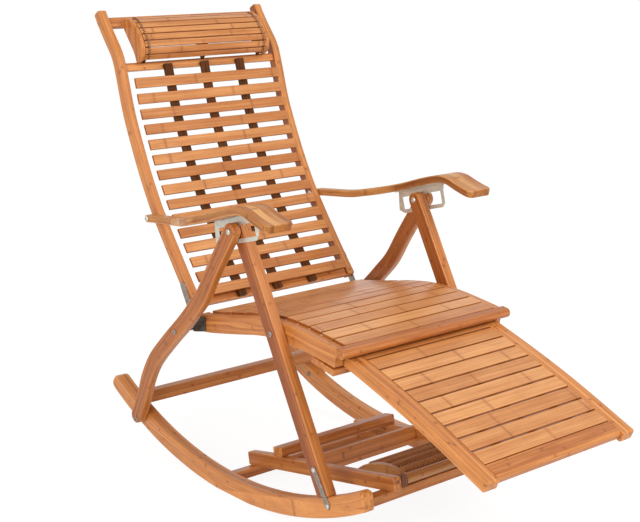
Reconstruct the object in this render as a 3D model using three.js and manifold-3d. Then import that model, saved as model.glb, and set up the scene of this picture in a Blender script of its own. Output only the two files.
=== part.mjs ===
// Folding rocking recliner in bamboo: two rockers, crossed legs, a slatted seat and back,
// notched armrests, a pull-out footrest, a head pillow and a foot massager on the base.
// Millimetres. +Z is up, the sitter faces -Y, and the sitter's left is +X.
import * as THREE from 'three';
import Module from 'manifold-3d';
import { mergeVertices } from 'three/addons/utils/BufferGeometryUtils.js';

const wasm = await Module();
wasm.setup();

// Clearances and edge work
const joinGap = 0.3;
const slideGap = 0.4;
const pivotGap = 1;
const softEdge = 2;
const fineEdge = 1.2;
const overrun = 5;
const holeSides = 8;
const boltSides = 8;
const roundSides = 10;
const sink = 0.6;
const weldDistance = 1e-4;

// Layout across the chair, from the mid-plane outwards
const halfOpening = 217;
const seatRailWidth = 24;
const backRailWidth = 21;
const frontLegThickness = 25;
const rockerWidth = 29;
const armPlateThickness = 1.5;
const rearLegThickness = 20;

// Pivots seen from the side, as [forward-back, height]
const legTop = [-36, 605];
const seatHingeBefore = 7;
const seatHingeDrop = 43;
const armHingeDistance = 231.2;
const armHingeInset = 8.3;
const frontLegLean = 0.542;
const seatPivotHeight = 405;

// Rockers
const rockerRadius = 931;
const rockerDepth = 43;
const rockerFrontReach = 445;
const rockerRearReach = 458;
const rockerFacets = 24;
const rockerRestFacets = 3;
const rockerEdge = 4;

// Legs
const frontLegWidth = 35;
const legHeadRadius = 17;
const rearLegWidth = 36;
const rearLegFootPlace = 345;
const rearLegFootDrop = 14.8;
const rearLegBow = 29;
const legBarDepth = 24;
const legBarHeight = 29;
const legBarPlace = 343;
const legBarRise = 28;
const rearLegBoltBefore = 6;
const rearLegBoltDrop = 19.3;

// Seat
const seatRearBefore = 30;
const seatRearDrop = 22;
const seatFrontPlace = -321;
const seatFrontLift = 3;
const seatRise = 27;
const seatRailDepth = 40;
const seatSlatPitch = 38;
const seatSlatWidth = 34.5;
const seatSlatCount = 12;
const seatSlatThickness = 8;
const slatProud = 5;
const slatInset = 1;
const noseBarDepth = 24;
const noseBarHeight = 21;
const battenWidth = 21;
const seatBattenThickness = 6;
const battenReach = 105;

// Backrest
const backFootBefore = 4;
const backFootLift = 34;
const backReach = 368;
const backHeight = 635;
const backSag = 31;
const backRailDepth = 24;
const backSlatRoom = 8;
const backSlatPitch = 37.2;
const backSlatWidth = 24.5;
const backSlatThickness = 7;
const backSlatCount = 15;
const backSlatProud = 12;
const backBattenThickness = 10;
const firstBackSlat = 26;
const topBarStart = 693;
const topBarHeight = 25;
const secondBarStart = 574;
const secondBarHeight = 19;
const bottomBarHeight = 22;
const barSetBack = 6;
const crossBarThickness = 14;

// Head pillow
const pillowSideRoom = 31;
const pillowBoard = 9;
const pillowHeight = 112;
const pillowBulge = 44;
const pillowStart = 588;
const pillowShell = 7;
const pillowSlatCount = 8;
const pillowSlatGap = 2.5;
const pillowBaseSteps = 8;

// Armrests
const armRearBehind = 10;
const armRearLift = 7;
const armFrontBefore = 172;
const armFrontLift = 43;
const armRise = 36;
const armThickness = 17;
const armInnerShift = 9;
const armFrontWidth = 70;
const armRearWidth = 25;
const armTaperStart = 40;
const armTaperEnd = 250;
const armCornerRadius = 14;

// Slotted steel plates under the armrests
const plateSlope = 15;
const plateBefore = 74;
const plateBehind = 80;
const slotBefore = 65;
const slotBehind = 63;
const slotAbove = 11;
const slotBelow = 18;
const plateStrip = 9;
const toothDepth = 3.2;
const toothWidth = 8;
const notchPitch = 20;
const toothPlaces = 4;
const flangeWidth = 14;
const plateSeatGap = 0.7;

// Footrest
const footRearBehind = 81;
const footRearDrop = 4;
const footReach = 467.3;
const footFall = 162.3;
const footRise = 14;
const footRailDepth = 24;
const footRailWidth = 34;
const footSideRoom = 3;
const footSlatGap = 3.6;
const footSlatCount = 10;
const footSlatThickness = 8;
const footBarDepth = 36;
const footBarSetBack = 5.6;
const footSlatFirst = 68;
const footRearBarStart = 8;
const footBoardDepth = 70;
const footBoardThickness = 14;
const footBoardBefore = 6;
const glideRadius = 6;
const glideInset = 12;
const boardTiltShare = 0.6;

// Steel fittings
const boltRadius = 3;
const boltHole = 3.3;
const headRadius = 6.5;
const headThickness = 3.5;
const boltCapShare = 0.7;
const studRadius = 4;
const strapWidth = 14;
const strapTopHeight = 150;
const strapFootPlace = -328;
const strapBoltDepthShare = 0.45;
const strapOffsetShare = 0.1;
const strapThickness = 2;
const hingePlateThickness = 2;
const hingeEye = 12;
const backPlateReach = 58;
const plateEndShare = 0.7;
const plateEyeShare = 0.8;
const studShift = -1.473;
const studDrop = 20;
const hookWall = 9;
const hookReach = 24;
const hookSlack = 1.6;

// Base unit with the foot massager
const beamSideRoom = 67;
const beamWidth = 20;
const beamDepth = 30;
const humpEndShare = 0.25;
const humpShare = 0.17;
const beamRearPlace = 61;
const beamRearDrop = 13.6;
const beamFrontPlace = -420;
const beamFrontDrop = 29.6;
const baseBarDepth = 30;
const baseBarHeight = 20;
const frontBarReach = 48;
const upperBarPlace = 98;
const crossBoardPlace = 206;
const upperBarDepth = 30;
const upperBarHeight = 22;
const crossBoardThickness = 14;
const crossBoardHeight = 40;
const frontRollerRadius = 11;
const ringProud = 3;
const cheekThickness = 16;
const cheekLength = 150;
const cheekHeight = 34;
const cheekInset = 34;
const rollerRadius = 13;
const rollerGroove = 2.5;
const rollerRings = 7;
const rollerPitch = 31;
const rollerRiseShare = 0.62;
const rollerFallShare = 0.1;
const ringFlankShare = 0.2;
const rollerCount = 4;
const rollerSpindle = 4;

// Materials
const tint = (colour, roughness, metalness = 0) =>
  new THREE.MeshStandardMaterial({ color: colour, roughness, metalness });
const bamboo = () => tint(0xc98a50, 0.42);
const paleBamboo = () => tint(0xdba06a, 0.4);
const darkBamboo = () => tint(0x6b4326, 0.5);
const steel = () => tint(0xa9a79c, 0.38, 0.9);
const darkSteel = () => tint(0x4a443e, 0.45, 0.85);

const chair = new THREE.Group();

// Side outlines lie in the YZ plane and are drawn out along X.
const sideways = new THREE.Matrix4().makeBasis(
  new THREE.Vector3(0, 1, 0),
  new THREE.Vector3(0, 0, 1),
  new THREE.Vector3(1, 0, 0),
);

function addPiece(name, geometry, material) {
  const mesh = new THREE.Mesh(geometry, material);
  mesh.name = name;
  chair.add(mesh);
  return mesh;
}

function outlineShape(points, holes = []) {
  const rimPoints = points.map(([y, z]) => new THREE.Vector2(y, z));
  const shape = new THREE.Shape(
    THREE.ShapeUtils.isClockWise(rimPoints) ? rimPoints.reverse() : rimPoints,
  );
  for (const [y, z, radius] of holes) {
    const rim = roundEnd([y, z], radius, 0, -2 * Math.PI, holeSides).slice(1);
    shape.holes.push(new THREE.Path(rim.map((spot) => new THREE.Vector2(...spot))));
  }
  return shape;
}

// A side outline drawn from one X to another, with a chamfer along both end faces.
function drawn(points, from, to, edge = 0, holes = []) {
  const low = Math.min(from, to);
  const high = Math.max(from, to);
  const geometry = new THREE.ExtrudeGeometry(outlineShape(points, holes), {
    depth: high - low - 2 * edge,
    bevelEnabled: edge > 0,
    bevelThickness: edge,
    bevelSize: edge,
    bevelOffset: -edge,
    bevelSegments: 1,
    curveSegments: 4,
  });
  geometry.translate(0, 0, low + edge);
  geometry.applyMatrix4(sideways);
  return geometry;
}

function toSolid(geometry) {
  const plain = new THREE.BufferGeometry();
  plain.setAttribute('position', geometry.getAttribute('position').clone());
  if (geometry.index) {
    plain.setIndex(geometry.index.clone());
  }
  const merged = mergeVertices(plain, weldDistance);
  return new wasm.Manifold(new wasm.Mesh({
    numProp: 3,
    vertProperties: new Float32Array(merged.attributes.position.array),
    triVerts: new Uint32Array(merged.index.array),
  }));
}

function toGeometry(solid) {
  const mesh = solid.getMesh();
  const geometry = new THREE.BufferGeometry();
  geometry.setAttribute('position', new THREE.BufferAttribute(mesh.vertProperties, 3));
  geometry.setIndex(new THREE.BufferAttribute(mesh.triVerts, 1));
  return geometry;
}

function joined(geometries) {
  const solids = geometries.map(toSolid);
  return toGeometry(solids.reduce((whole, piece) => whole.add(piece)));
}

// A curve over a chord: shares give [along the chord, across it], across in units of the rise.
function arch(start, end, rise, shares) {
  const chord = new THREE.Vector2(end[0] - start[0], end[1] - start[1]);
  const length = chord.length();
  const along = chord.clone().divideScalar(length);
  const across = new THREE.Vector2(-along.y, along.x);
  const points = shares.map(([a, b]) => new THREE.Vector2(...start)
    .addScaledVector(along, a * length)
    .addScaledVector(across, b * rise));
  return new THREE.SplineCurve(points);
}

// A point at a distance along a curve, moved off it on its left-hand side.
function beside(curve, distance, offset) {
  const share = THREE.MathUtils.clamp(distance / curve.getLength(), 0, 1);
  const spot = curve.getPointAt(share);
  const way = curve.getTangentAt(share);
  return [spot.x - way.y * offset, spot.y + way.x * offset];
}

// The outline between two offsets of a curve, from one distance to another.
function band(curve, from, to, offsetA, offsetB, steps) {
  const sideA = [];
  const sideB = [];
  for (let i = 0; i <= steps; i += 1) {
    const distance = from + (to - from) * i / steps;
    sideA.push(beside(curve, distance, offsetA));
    sideB.push(beside(curve, distance, offsetB));
  }
  return sideA.concat(sideB.reverse());
}

function roundEnd(centre, radius, startAngle, endAngle, steps) {
  const points = [];
  for (let i = 0; i <= steps; i += 1) {
    const angle = startAngle + (endAngle - startAngle) * i / steps;
    points.push([centre[0] + radius * Math.cos(angle), centre[1] + radius * Math.sin(angle)]);
  }
  return points;
}

// A rectangle of a given height and thickness set square to a curve, with its corners cut.
function blockOn(curve, from, length, offsetA, offsetB, edge) {
  const low = Math.min(offsetA, offsetB);
  const high = Math.max(offsetA, offsetB);
  const middle = from + length / 2;
  const corners = [
    [-length / 2 + edge, low], [length / 2 - edge, low],
    [length / 2, low + edge], [length / 2, high - edge],
    [length / 2 - edge, high], [-length / 2 + edge, high],
    [-length / 2, high - edge], [-length / 2, low + edge],
  ];
  const share = THREE.MathUtils.clamp(middle / curve.getLength(), 0, 1);
  const spot = curve.getPointAt(share);
  const way = curve.getTangentAt(share);
  return corners.map(([a, b]) => [
    spot.x + way.x * a - way.y * b,
    spot.y + way.y * a + way.x * b,
  ]);
}

function cutRectangle(low, high, edge) {
  return [
    [low[0] + edge, low[1]], [high[0] - edge, low[1]],
    [high[0], low[1] + edge], [high[0], high[1] - edge],
    [high[0] - edge, high[1]], [low[0] + edge, high[1]],
    [low[0], high[1] - edge], [low[0], low[1] + edge],
  ];
}

// A round piece on an axis along X: profile rows are [X, radius].
function turned(rows, centre, sides) {
  const profile = [[rows[0][0], 0], ...rows, [rows[rows.length - 1][0], 0]];
  const points = profile.map(([x, radius]) => new THREE.Vector2(radius, x));
  const geometry = new THREE.LatheGeometry(points, sides);
  geometry.rotateZ(-Math.PI / 2);
  geometry.translate(0, centre[0], centre[1]);
  return geometry;
}

// Turned rows for a bolt from an inner X to an outer X, with a head beyond each end.
function boltRows(inner, outer, radius = boltRadius) {
  return [
    [inner - headThickness, headRadius * boltCapShare],
    [inner - headThickness + fineEdge, headRadius],
    [inner, headRadius],
    [inner, radius],
    [outer, radius],
    [outer, headRadius],
    [outer + headThickness - fineEdge, headRadius],
    [outer + headThickness, headRadius * boltCapShare],
  ];
}

// Both sides of the chair: the sitter's left at +X and right at -X.
const sides = [['l', 1], ['r', -1]];

function mirrorRows(rows, sign) {
  const signed = rows.map(([x, radius]) => [x * sign, radius]);
  return sign > 0 ? signed : signed.reverse();
}

// Derived layout
const seatRailOuter = halfOpening + seatRailWidth;
const backRailOuter = halfOpening + backRailWidth;
const legInner = seatRailOuter + pivotGap;
const legOuter = legInner + frontLegThickness;
const plateInner = legOuter + slideGap;
const plateOuter = plateInner + armPlateThickness;
const rearLegInner = plateOuter + slideGap;
const rearLegOuter = rearLegInner + rearLegThickness;
const rockerInner = legOuter - rockerWidth;
const seatPivot = [legTop[0] - (legTop[1] - seatPivotHeight) * frontLegLean, seatPivotHeight];
const rockerInnerRadius = rockerRadius - rockerDepth;
const rockerTopAt = (y) => rockerRadius - Math.sqrt(rockerInnerRadius ** 2 - y ** 2);
const rearLegFoot = [rearLegFootPlace, rockerTopAt(rearLegFootPlace) - rearLegFootDrop];
const rearLegBoltY = rearLegFoot[0] - rearLegBoltBefore;
const rearLegBoltPlace = [rearLegBoltY, rockerTopAt(rearLegBoltY) - rearLegBoltDrop];
const legBarCentre = [legBarPlace, rockerTopAt(legBarPlace) + legBarRise];
const rearLegShares = [
  [0, 0], [0.115, -0.09], [0.2, -0.19], [0.305, -0.38], [0.39, -0.18], [0.48, 0.11],
  [0.585, 0.56], [0.72, 1], [0.817, 0.86], [0.884, 0.48], [0.952, 0.14], [1, 0],
];
const rearLegCurve = arch(legTop, rearLegFoot, rearLegBow, rearLegShares);
const rearLegAt = (height) => {
  let low = 0;
  let high = 1;
  for (let i = 0; i < 40; i += 1) {
    const middle = (low + high) / 2;
    if (rearLegCurve.getPointAt(middle).y > height) {
      low = middle;
    } else {
      high = middle;
    }
  }
  return rearLegCurve.getPointAt(low).x;
};

// The stud on the rear leg sets where the seat's rear end, its hinge and the backrest begin.
const studHeight = seatPivotHeight - seatHingeDrop - studDrop;
const stopStud = [rearLegAt(studHeight) + studShift, studHeight];
const seatHinge = [stopStud[0] - seatHingeBefore, seatPivotHeight - seatHingeDrop];
const backFoot = [seatHinge[0] - backFootBefore, seatHinge[1] + backFootLift];
const backTop = [backFoot[0] + backReach, backFoot[1] + backHeight];

// Rockers
const rockerCentre = [0, rockerRadius];
const frontAngle = -Math.asin(rockerFrontReach / rockerRadius);
const rearAngle = Math.asin(rockerRearReach / rockerRadius);
const facetAngle = (rearAngle - frontAngle) / rockerFacets;
const frontFacets = Math.round(-frontAngle / facetAngle - 0.5);
const rockerPoint = (angle, radius) => [
  rockerCentre[0] + radius * Math.sin(angle),
  rockerCentre[1] - radius * Math.cos(angle),
];
// The lowest facets are one flat, on which the chair rests with the footrest pulled out.
const rockerOutline = [];
for (let i = 0; i <= rockerFacets; i += 1) {
  const place = i - frontFacets - 0.5;
  if (Math.abs(place) >= rockerRestFacets / 2) {
    rockerOutline.push(rockerPoint(place * facetAngle, rockerRadius));
  }
}
const rearNoseShares = [[0.35, 0.12], [0.44, 0.4], [0.36, 0.72], [0.12, 0.93]];
const frontNoseShares = [[0.02, 0.98], [0.3, 0.75]];
const lastAngle = (rockerFacets - frontFacets - 0.5) * facetAngle;
const firstAngle = (-frontFacets - 0.5) * facetAngle;
for (const [out, up] of rearNoseShares) {
  const turn = lastAngle + out * rockerDepth / rockerRadius;
  rockerOutline.push(rockerPoint(turn, rockerRadius - up * rockerDepth));
}
for (let i = rockerFacets; i >= 0; i -= 1) {
  rockerOutline.push(rockerPoint((i - frontFacets - 0.5) * facetAngle, rockerInnerRadius));
}
for (const [out, up] of frontNoseShares) {
  const turn = firstAngle - out * rockerDepth / rockerRadius;
  rockerOutline.push(rockerPoint(turn, rockerRadius - up * rockerDepth));
}
const strapBoltPlace = [
  strapFootPlace,
  rockerTopAt(strapFootPlace) - rockerDepth * strapBoltDepthShare,
];
for (const [side, sign] of sides) {
  const holes = [
    [...rearLegBoltPlace, boltHole],
    [...strapBoltPlace, boltHole],
  ];
  addPiece(
    `rocker_${side}`,
    drawn(rockerOutline, sign * rockerInner, sign * legOuter, rockerEdge, holes),
    bamboo(),
  );
}

// Front legs stand on the rockers and lean back to the leg-top bolt.
const leanAngle = Math.atan(frontLegLean);
const legWay = [-Math.sin(leanAngle), -Math.cos(leanAngle)];
const legAcross = [Math.cos(leanAngle), -Math.sin(leanAngle)];
const onLeg = (down, out) => [
  legTop[0] + legWay[0] * down + legAcross[0] * out,
  legTop[1] + legWay[1] * down + legAcross[1] * out,
];
const meetRocker = (out) => {
  let down = 0;
  for (let i = 0; i < 60; i += 1) {
    const [y, z] = onLeg(down, out);
    down += z - rockerTopAt(y) - joinGap;
  }
  return onLeg(down, out);
};
const legHalf = frontLegWidth / 2;
const shoulder = 2 * frontLegWidth;
const footShares = [-1, -0.5, 0, 0.5, 1];
const frontLegOutline = [
  ...footShares.map((share) => meetRocker(share * legHalf)),
  onLeg(shoulder, legHalf),
  ...roundEnd(legTop, legHeadRadius, -leanAngle, Math.PI - leanAngle, 8),
  onLeg(shoulder, -legHalf),
];
const strapTopPlace = onLeg(
  (legTop[1] - strapTopHeight) / Math.cos(leanAngle),
  -legHalf * strapOffsetShare,
);
for (const [side, sign] of sides) {
  const holes = [
    [...legTop, boltHole],
    [...seatPivot, boltHole],
    [...strapTopPlace, boltHole],
  ];
  addPiece(
    `front_leg_${side}`,
    drawn(frontLegOutline, sign * legInner, sign * legOuter, softEdge, holes),
    bamboo(),
  );
}

// Rear legs sweep back to the rockers, outside them.
const rearLegLength = rearLegCurve.getLength();
const rearHalf = rearLegWidth / 2;
const wayAt = (curve, share) => {
  const way = curve.getTangentAt(share);
  return Math.atan2(way.y, way.x);
};
const rearShoulder = rearLegWidth;
const rearTopAngle = wayAt(rearLegCurve, 0);
const rearFootAngle = wayAt(rearLegCurve, 1);
const rearBody = band(rearLegCurve, rearShoulder, rearLegLength, -rearHalf, rearHalf, 18);
const rearHalfCount = rearBody.length / 2;
const rearLegOutline = [
  ...rearBody.slice(0, rearHalfCount),
  ...roundEnd(rearLegFoot, rearHalf, rearFootAngle - Math.PI / 2, rearFootAngle + Math.PI / 2, 8)
    .slice(1, -1),
  ...rearBody.slice(rearHalfCount),
  ...roundEnd(legTop, legHeadRadius, rearTopAngle + Math.PI / 2, rearTopAngle + 3 * Math.PI / 2, 8),
];
for (const [side, sign] of sides) {
  const holes = [
    [...legTop, boltHole],
    [...rearLegBoltPlace, boltHole],
    [...stopStud, studRadius + joinGap],
  ];
  addPiece(
    `rear_leg_${side}`,
    drawn(rearLegOutline, sign * rearLegInner, sign * rearLegOuter, softEdge, holes),
    bamboo(),
  );
}
const legBarLow = [legBarCentre[0] - legBarDepth / 2, legBarCentre[1] - legBarHeight / 2];
const legBarHigh = [legBarCentre[0] + legBarDepth / 2, legBarCentre[1] + legBarHeight / 2];
addPiece(
  'rear_leg_bar',
  drawn(
    cutRectangle(legBarLow, legBarHigh, softEdge),
    -rearLegInner + joinGap,
    rearLegInner - joinGap,
    fineEdge,
  ),
  bamboo(),
);

// Bolts, straps and studs of the leg frame
for (const [side, sign] of sides) {
  addPiece(
    `leg_top_bolt_${side}`,
    turned(mirrorRows(boltRows(legInner - joinGap, rearLegOuter + joinGap), sign), legTop, 12),
    steel(),
  );
  const spacer = [
    [legOuter + joinGap, boltRadius],
    [legOuter + joinGap, headRadius],
    [rearLegInner - joinGap, headRadius],
    [rearLegInner - joinGap, boltRadius],
  ];
  const rows = boltRows(rockerInner - joinGap, rearLegOuter + joinGap);
  rows.splice(4, 0, ...spacer);
  addPiece(`rear_leg_bolt_${side}`, turned(mirrorRows(rows, sign), rearLegBoltPlace, boltSides), steel());
  const studRows = [
    [legInner, studRadius],
    [rearLegInner - joinGap, studRadius],
    [rearLegOuter + joinGap, studRadius],
    [rearLegOuter + joinGap, headRadius],
    [rearLegOuter + headThickness - fineEdge, headRadius],
    [rearLegOuter + headThickness, headRadius * boltCapShare],
  ];
  addPiece(`seat_stop_stud_${side}`, turned(mirrorRows(studRows, sign), stopStud, boltSides), steel());
  const strapAngle = Math.atan2(
    strapTopPlace[1] - strapBoltPlace[1],
    strapTopPlace[0] - strapBoltPlace[0],
  );
  const strapOutline = [
    ...roundEnd(strapTopPlace, strapWidth / 2, strapAngle - Math.PI / 2, strapAngle + Math.PI / 2, 6),
    ...roundEnd(strapBoltPlace, strapWidth / 2, strapAngle + Math.PI / 2,
      strapAngle + 3 * Math.PI / 2, 6),
  ];
  const strapInner = legOuter + joinGap;
  const strapOuter = strapInner + strapThickness;
  const pin = (inner, place) => turned(mirrorRows([
    [inner, boltRadius],
    [strapOuter, boltRadius],
    [strapOuter, headRadius * boltCapShare],
    [strapOuter + headThickness / 2, headRadius * boltCapShare],
  ], sign), place, boltSides);
  addPiece(`rocker_strap_${side}`, joined([
    drawn(strapOutline, sign * strapInner, sign * strapOuter),
    pin(legInner + frontLegThickness / 3, strapTopPlace),
    pin(rockerInner + rockerWidth / 3, strapBoltPlace),
  ]), darkSteel());
}

// Seat frame: two arched rails, a nose bar and a mat of slats on three battens
const seatShares = [
  [0, 0], [0.06, 0.02], [0.19, 0.3], [0.32, 0.62], [0.46, 0.95], [0.6, 1.02],
  [0.75, 0.78], [0.88, 0.4], [1, 0],
];
const seatRearTop = [stopStud[0] - seatRearBefore, seatPivotHeight - seatRearDrop];
const seatFrontTop = [seatFrontPlace, seatPivotHeight + seatFrontLift];
const seatCurve = arch(seatRearTop, seatFrontTop, -seatRise, seatShares);
const seatLength = seatCurve.getLength();
const seatRailOutline = band(seatCurve, 0, seatLength, 0, seatRailDepth, 16);
for (const [side, sign] of sides) {
  addPiece(
    `seat_rail_${side}`,
    drawn(seatRailOutline, sign * halfOpening, sign * seatRailOuter, softEdge, [
      [...seatPivot, boltHole],
    ]),
    bamboo(),
  );
}
const noseWay = seatCurve.getTangentAt(1);
const noseSpot = seatCurve.getPointAt(1);
const atNose = (ahead, down) => [
  noseSpot.x + noseWay.x * (ahead + joinGap) - noseWay.y * down,
  noseSpot.y + noseWay.y * (ahead + joinGap) + noseWay.x * down,
];
const noseRound = noseBarHeight / 2;
const noseArc = [];
for (let i = 0; i <= 6; i += 1) {
  const angle = -Math.PI / 2 + Math.PI * i / 6;
  noseArc.push(atNose(
    noseBarDepth - noseRound + noseRound * Math.cos(angle),
    noseRound - slatProud + noseRound * Math.sin(angle),
  ));
}
addPiece(
  'seat_nose_bar',
  drawn(
    [atNose(0, -slatProud), ...noseArc, atNose(0, noseBarHeight - slatProud)],
    -seatRailOuter,
    seatRailOuter,
    softEdge,
  ),
  bamboo(),
);

// A mat: slats set along a curve, carried on battens that follow it.
function slatMat(curve, first, pitch, count, width, offsetFace, thickness, halfSpan, batten) {
  const { inward } = batten;
  const parts = [];
  for (let i = 0; i < count; i += 1) {
    const from = first + i * pitch - width / 2;
    const outline = blockOn(curve, from, width, offsetFace, offsetFace + inward * thickness, fineEdge);
    parts.push(drawn(outline, -halfSpan, halfSpan));
  }
  const under = offsetFace + inward * (thickness - sink);
  const battenOutline = band(
    curve, batten.from, batten.to, under, under + inward * (batten.thickness + sink), batten.steps,
  );
  for (const place of [-1, 0, 1]) {
    const middle = place * battenReach;
    parts.push(drawn(battenOutline, middle - battenWidth / 2, middle + battenWidth / 2));
  }
  return joined(parts);
}

const seatSlatSpan = halfOpening - slatInset;
const seatSlatFirst = seatLength - (seatSlatCount - 1) * seatSlatPitch - seatSlatPitch / 2;
addPiece('seat_slats', slatMat(
  seatCurve, seatSlatFirst, seatSlatPitch, seatSlatCount, seatSlatWidth, -slatProud,
  seatSlatThickness, seatSlatSpan,
  {
    inward: 1, from: seatSlatFirst - seatSlatWidth / 3, to: seatLength,
    thickness: seatBattenThickness, steps: 14,
  },
), paleBamboo());

// Seat pivot bolts and hook plates
for (const [side, sign] of sides) {
  addPiece(
    `seat_pivot_bolt_${side}`,
    turned(mirrorRows(boltRows(halfOpening - joinGap, legOuter + joinGap), sign), seatPivot, 12),
    steel(),
  );
}
const hookInner = seatRailOuter + joinGap;
const hookOuter = hookInner + hingePlateThickness;
const hookTop = stopStud[1] + studRadius + joinGap;
const hookHalf = studRadius + hookSlack;
const hookFront = seatRearTop[0] - hookReach;
const hookOutline = [
  [hookFront, seatRearTop[1] - seatRailDepth + softEdge * 2],
  [stopStud[0] - hookHalf - hookWall, stopStud[1] - studRadius],
  [stopStud[0] - hookHalf, stopStud[1] - studRadius],
  [stopStud[0] - hookHalf, hookTop],
  [stopStud[0] + hookHalf, hookTop],
  [stopStud[0] + hookHalf, stopStud[1] - studRadius],
  [stopStud[0] + hookHalf + hookWall, stopStud[1] - studRadius],
  [stopStud[0] + hookHalf + hookWall, hookTop + hookWall],
  ...roundEnd(seatHinge, hingeEye, 0, Math.PI / 2, 4),
  [hookFront, seatRearTop[1] - softEdge * 2],
];
const railScrewPlace = [hookFront + hingeEye, seatRearTop[1] - seatRailDepth / 2];
for (const [side, sign] of sides) {
  const screw = turned(mirrorRows([
    [hookOuter - sink, headRadius * boltCapShare],
    [hookOuter + headThickness / 2, headRadius * boltCapShare],
  ], sign), railScrewPlace, boltSides);
  addPiece(`seat_hook_plate_${side}`, joined([
    drawn(hookOutline, sign * hookInner, sign * hookOuter, 0, [[...seatHinge, boltHole]]),
    screw,
  ]), darkSteel());
}

// Backrest frame
const backShares = [
  [0, 0], [0.083, -0.31], [0.215, -0.7], [0.303, -0.92], [0.362, -1], [0.471, -0.96],
  [0.595, -0.7], [0.67, -0.44], [0.753, 0.04], [0.813, 0.35], [0.85, 0.4], [0.907, 0.2],
  [0.967, 0.02], [1, 0],
];
const backCurve = arch(backFoot, backTop, backSag, backShares);
const backLength = backCurve.getLength();
const backStretch = backLength / Math.hypot(backTop[0] - backFoot[0], backTop[1] - backFoot[1]);
const backAt = (along) => along * backStretch;
const backRailOutline = band(backCurve, 0, backLength, 0, -backRailDepth, 26);
const armHinge = beside(backCurve, armHingeDistance, -armHingeInset);
const armPinHole = [...armHinge, boltHole];
for (const [side, sign] of sides) {
  addPiece(
    `back_rail_${side}`,
    drawn(backRailOutline, sign * halfOpening, sign * backRailOuter, softEdge, [armPinHole]),
    bamboo(),
  );
}
const barSpan = halfOpening - joinGap;
const backSlatHalfSpan = halfOpening - backSlatRoom;
const backBar = (name, start, height, front) => addPiece(
  name,
  drawn(
    blockOn(backCurve, backAt(start), height, front, front - crossBarThickness, softEdge),
    -barSpan,
    barSpan,
  ),
  bamboo(),
);
backBar('back_bottom_bar', fineEdge, bottomBarHeight, -barSetBack);
backBar('back_second_bar', secondBarStart, secondBarHeight, -barSetBack);
backBar('back_top_bar', topBarStart, topBarHeight, -barSetBack);
addPiece('back_slats', slatMat(
  backCurve, backAt(firstBackSlat), backSlatPitch, backSlatCount, backSlatWidth, backSlatProud,
  backSlatThickness, backSlatHalfSpan,
  {
    inward: -1, from: fineEdge, to: backAt(secondBarStart + secondBarHeight / 2),
    thickness: backBattenThickness, steps: 18,
  },
), paleBamboo());

// Hinge plates on the backrest rails, with the two hinge pins between them and the seat hooks
const backPlateInner = backRailOuter + joinGap;
const backPlateOuter = hookInner - slideGap;
const backPlateEnd = beside(backCurve, backPlateReach, -backRailDepth / 2);
const plateWay = Math.atan2(backPlateEnd[1] - seatHinge[1], backPlateEnd[0] - seatHinge[0]);
const backPlateOutline = [
  ...roundEnd(backPlateEnd, hingeEye * plateEndShare, plateWay - Math.PI / 2, plateWay + Math.PI / 2, 5),
  ...roundEnd(seatHinge, hingeEye * plateEyeShare, plateWay + Math.PI / 2, plateWay + 3 * Math.PI / 2, 5),
];
for (const [side, sign] of sides) {
  addPiece(
    `back_hinge_plate_${side}`,
    drawn(backPlateOutline, sign * backPlateInner, sign * backPlateOuter, 0, [
      [...seatHinge, boltHole],
    ]),
    darkSteel(),
  );
  addPiece(
    `hinge_pin_${side}`,
    turned(mirrorRows(boltRows(backPlateInner - joinGap, hookOuter + joinGap), sign), seatHinge, 12),
    steel(),
  );
}

// Head pillow: two D-shaped end boards and a slatted shell over them
const pillowCurve = (out) => {
  const start = beside(backCurve, backAt(pillowStart), 0);
  const end = beside(backCurve, backAt(pillowStart + pillowHeight), 0);
  const bulgeShares = [
    [0, 0.3], [0.05, 0.62], [0.18, 0.9], [0.36, 1], [0.58, 0.98], [0.78, 0.86], [0.93, 0.6],
    [1, 0.34],
  ];
  return arch(start, end, pillowBulge - out, bulgeShares);
};
const pillowHalfSpan = halfOpening - pillowSideRoom;
const pillowFace = pillowCurve(0);
const pillowLength = pillowFace.getLength();
const pillowBase = [];
for (let i = pillowBaseSteps; i >= 0; i -= 1) {
  const place = pillowStart + pillowHeight * i / pillowBaseSteps;
  pillowBase.push(beside(backCurve, backAt(place), joinGap - barSetBack));
}
const boardOutline = [...band(pillowFace, 0, pillowLength, 0, 0, 12).slice(0, 13), ...pillowBase];
for (const [side, sign] of sides) {
  addPiece(
    `pillow_board_${side}`,
    drawn(boardOutline, sign * (pillowHalfSpan - pillowBoard), sign * pillowHalfSpan, fineEdge),
    bamboo(),
  );
}
const pillowPitch = pillowLength / pillowSlatCount;
const pillowParts = [];
for (let i = 0; i < pillowSlatCount; i += 1) {
  const outline = blockOn(
    pillowFace, i * pillowPitch + pillowSlatGap / 2, pillowPitch - pillowSlatGap,
    0, -pillowShell, fineEdge,
  );
  pillowParts.push(drawn(
    outline, -pillowHalfSpan + pillowBoard + joinGap, pillowHalfSpan - pillowBoard - joinGap,
  ));
}
const pillowRib = [
  ...band(pillowFace, fineEdge, pillowLength - fineEdge, -pillowShell + sink, 0, 12).slice(0, 13),
  ...pillowBase,
];
for (const place of [-1, 0, 1]) {
  const middle = place * (pillowHalfSpan - pillowBoard * 2);
  pillowParts.push(drawn(pillowRib, middle - pillowBoard / 2, middle + pillowBoard / 2));
}
addPiece('pillow_slats', joined(pillowParts), paleBamboo());

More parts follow.
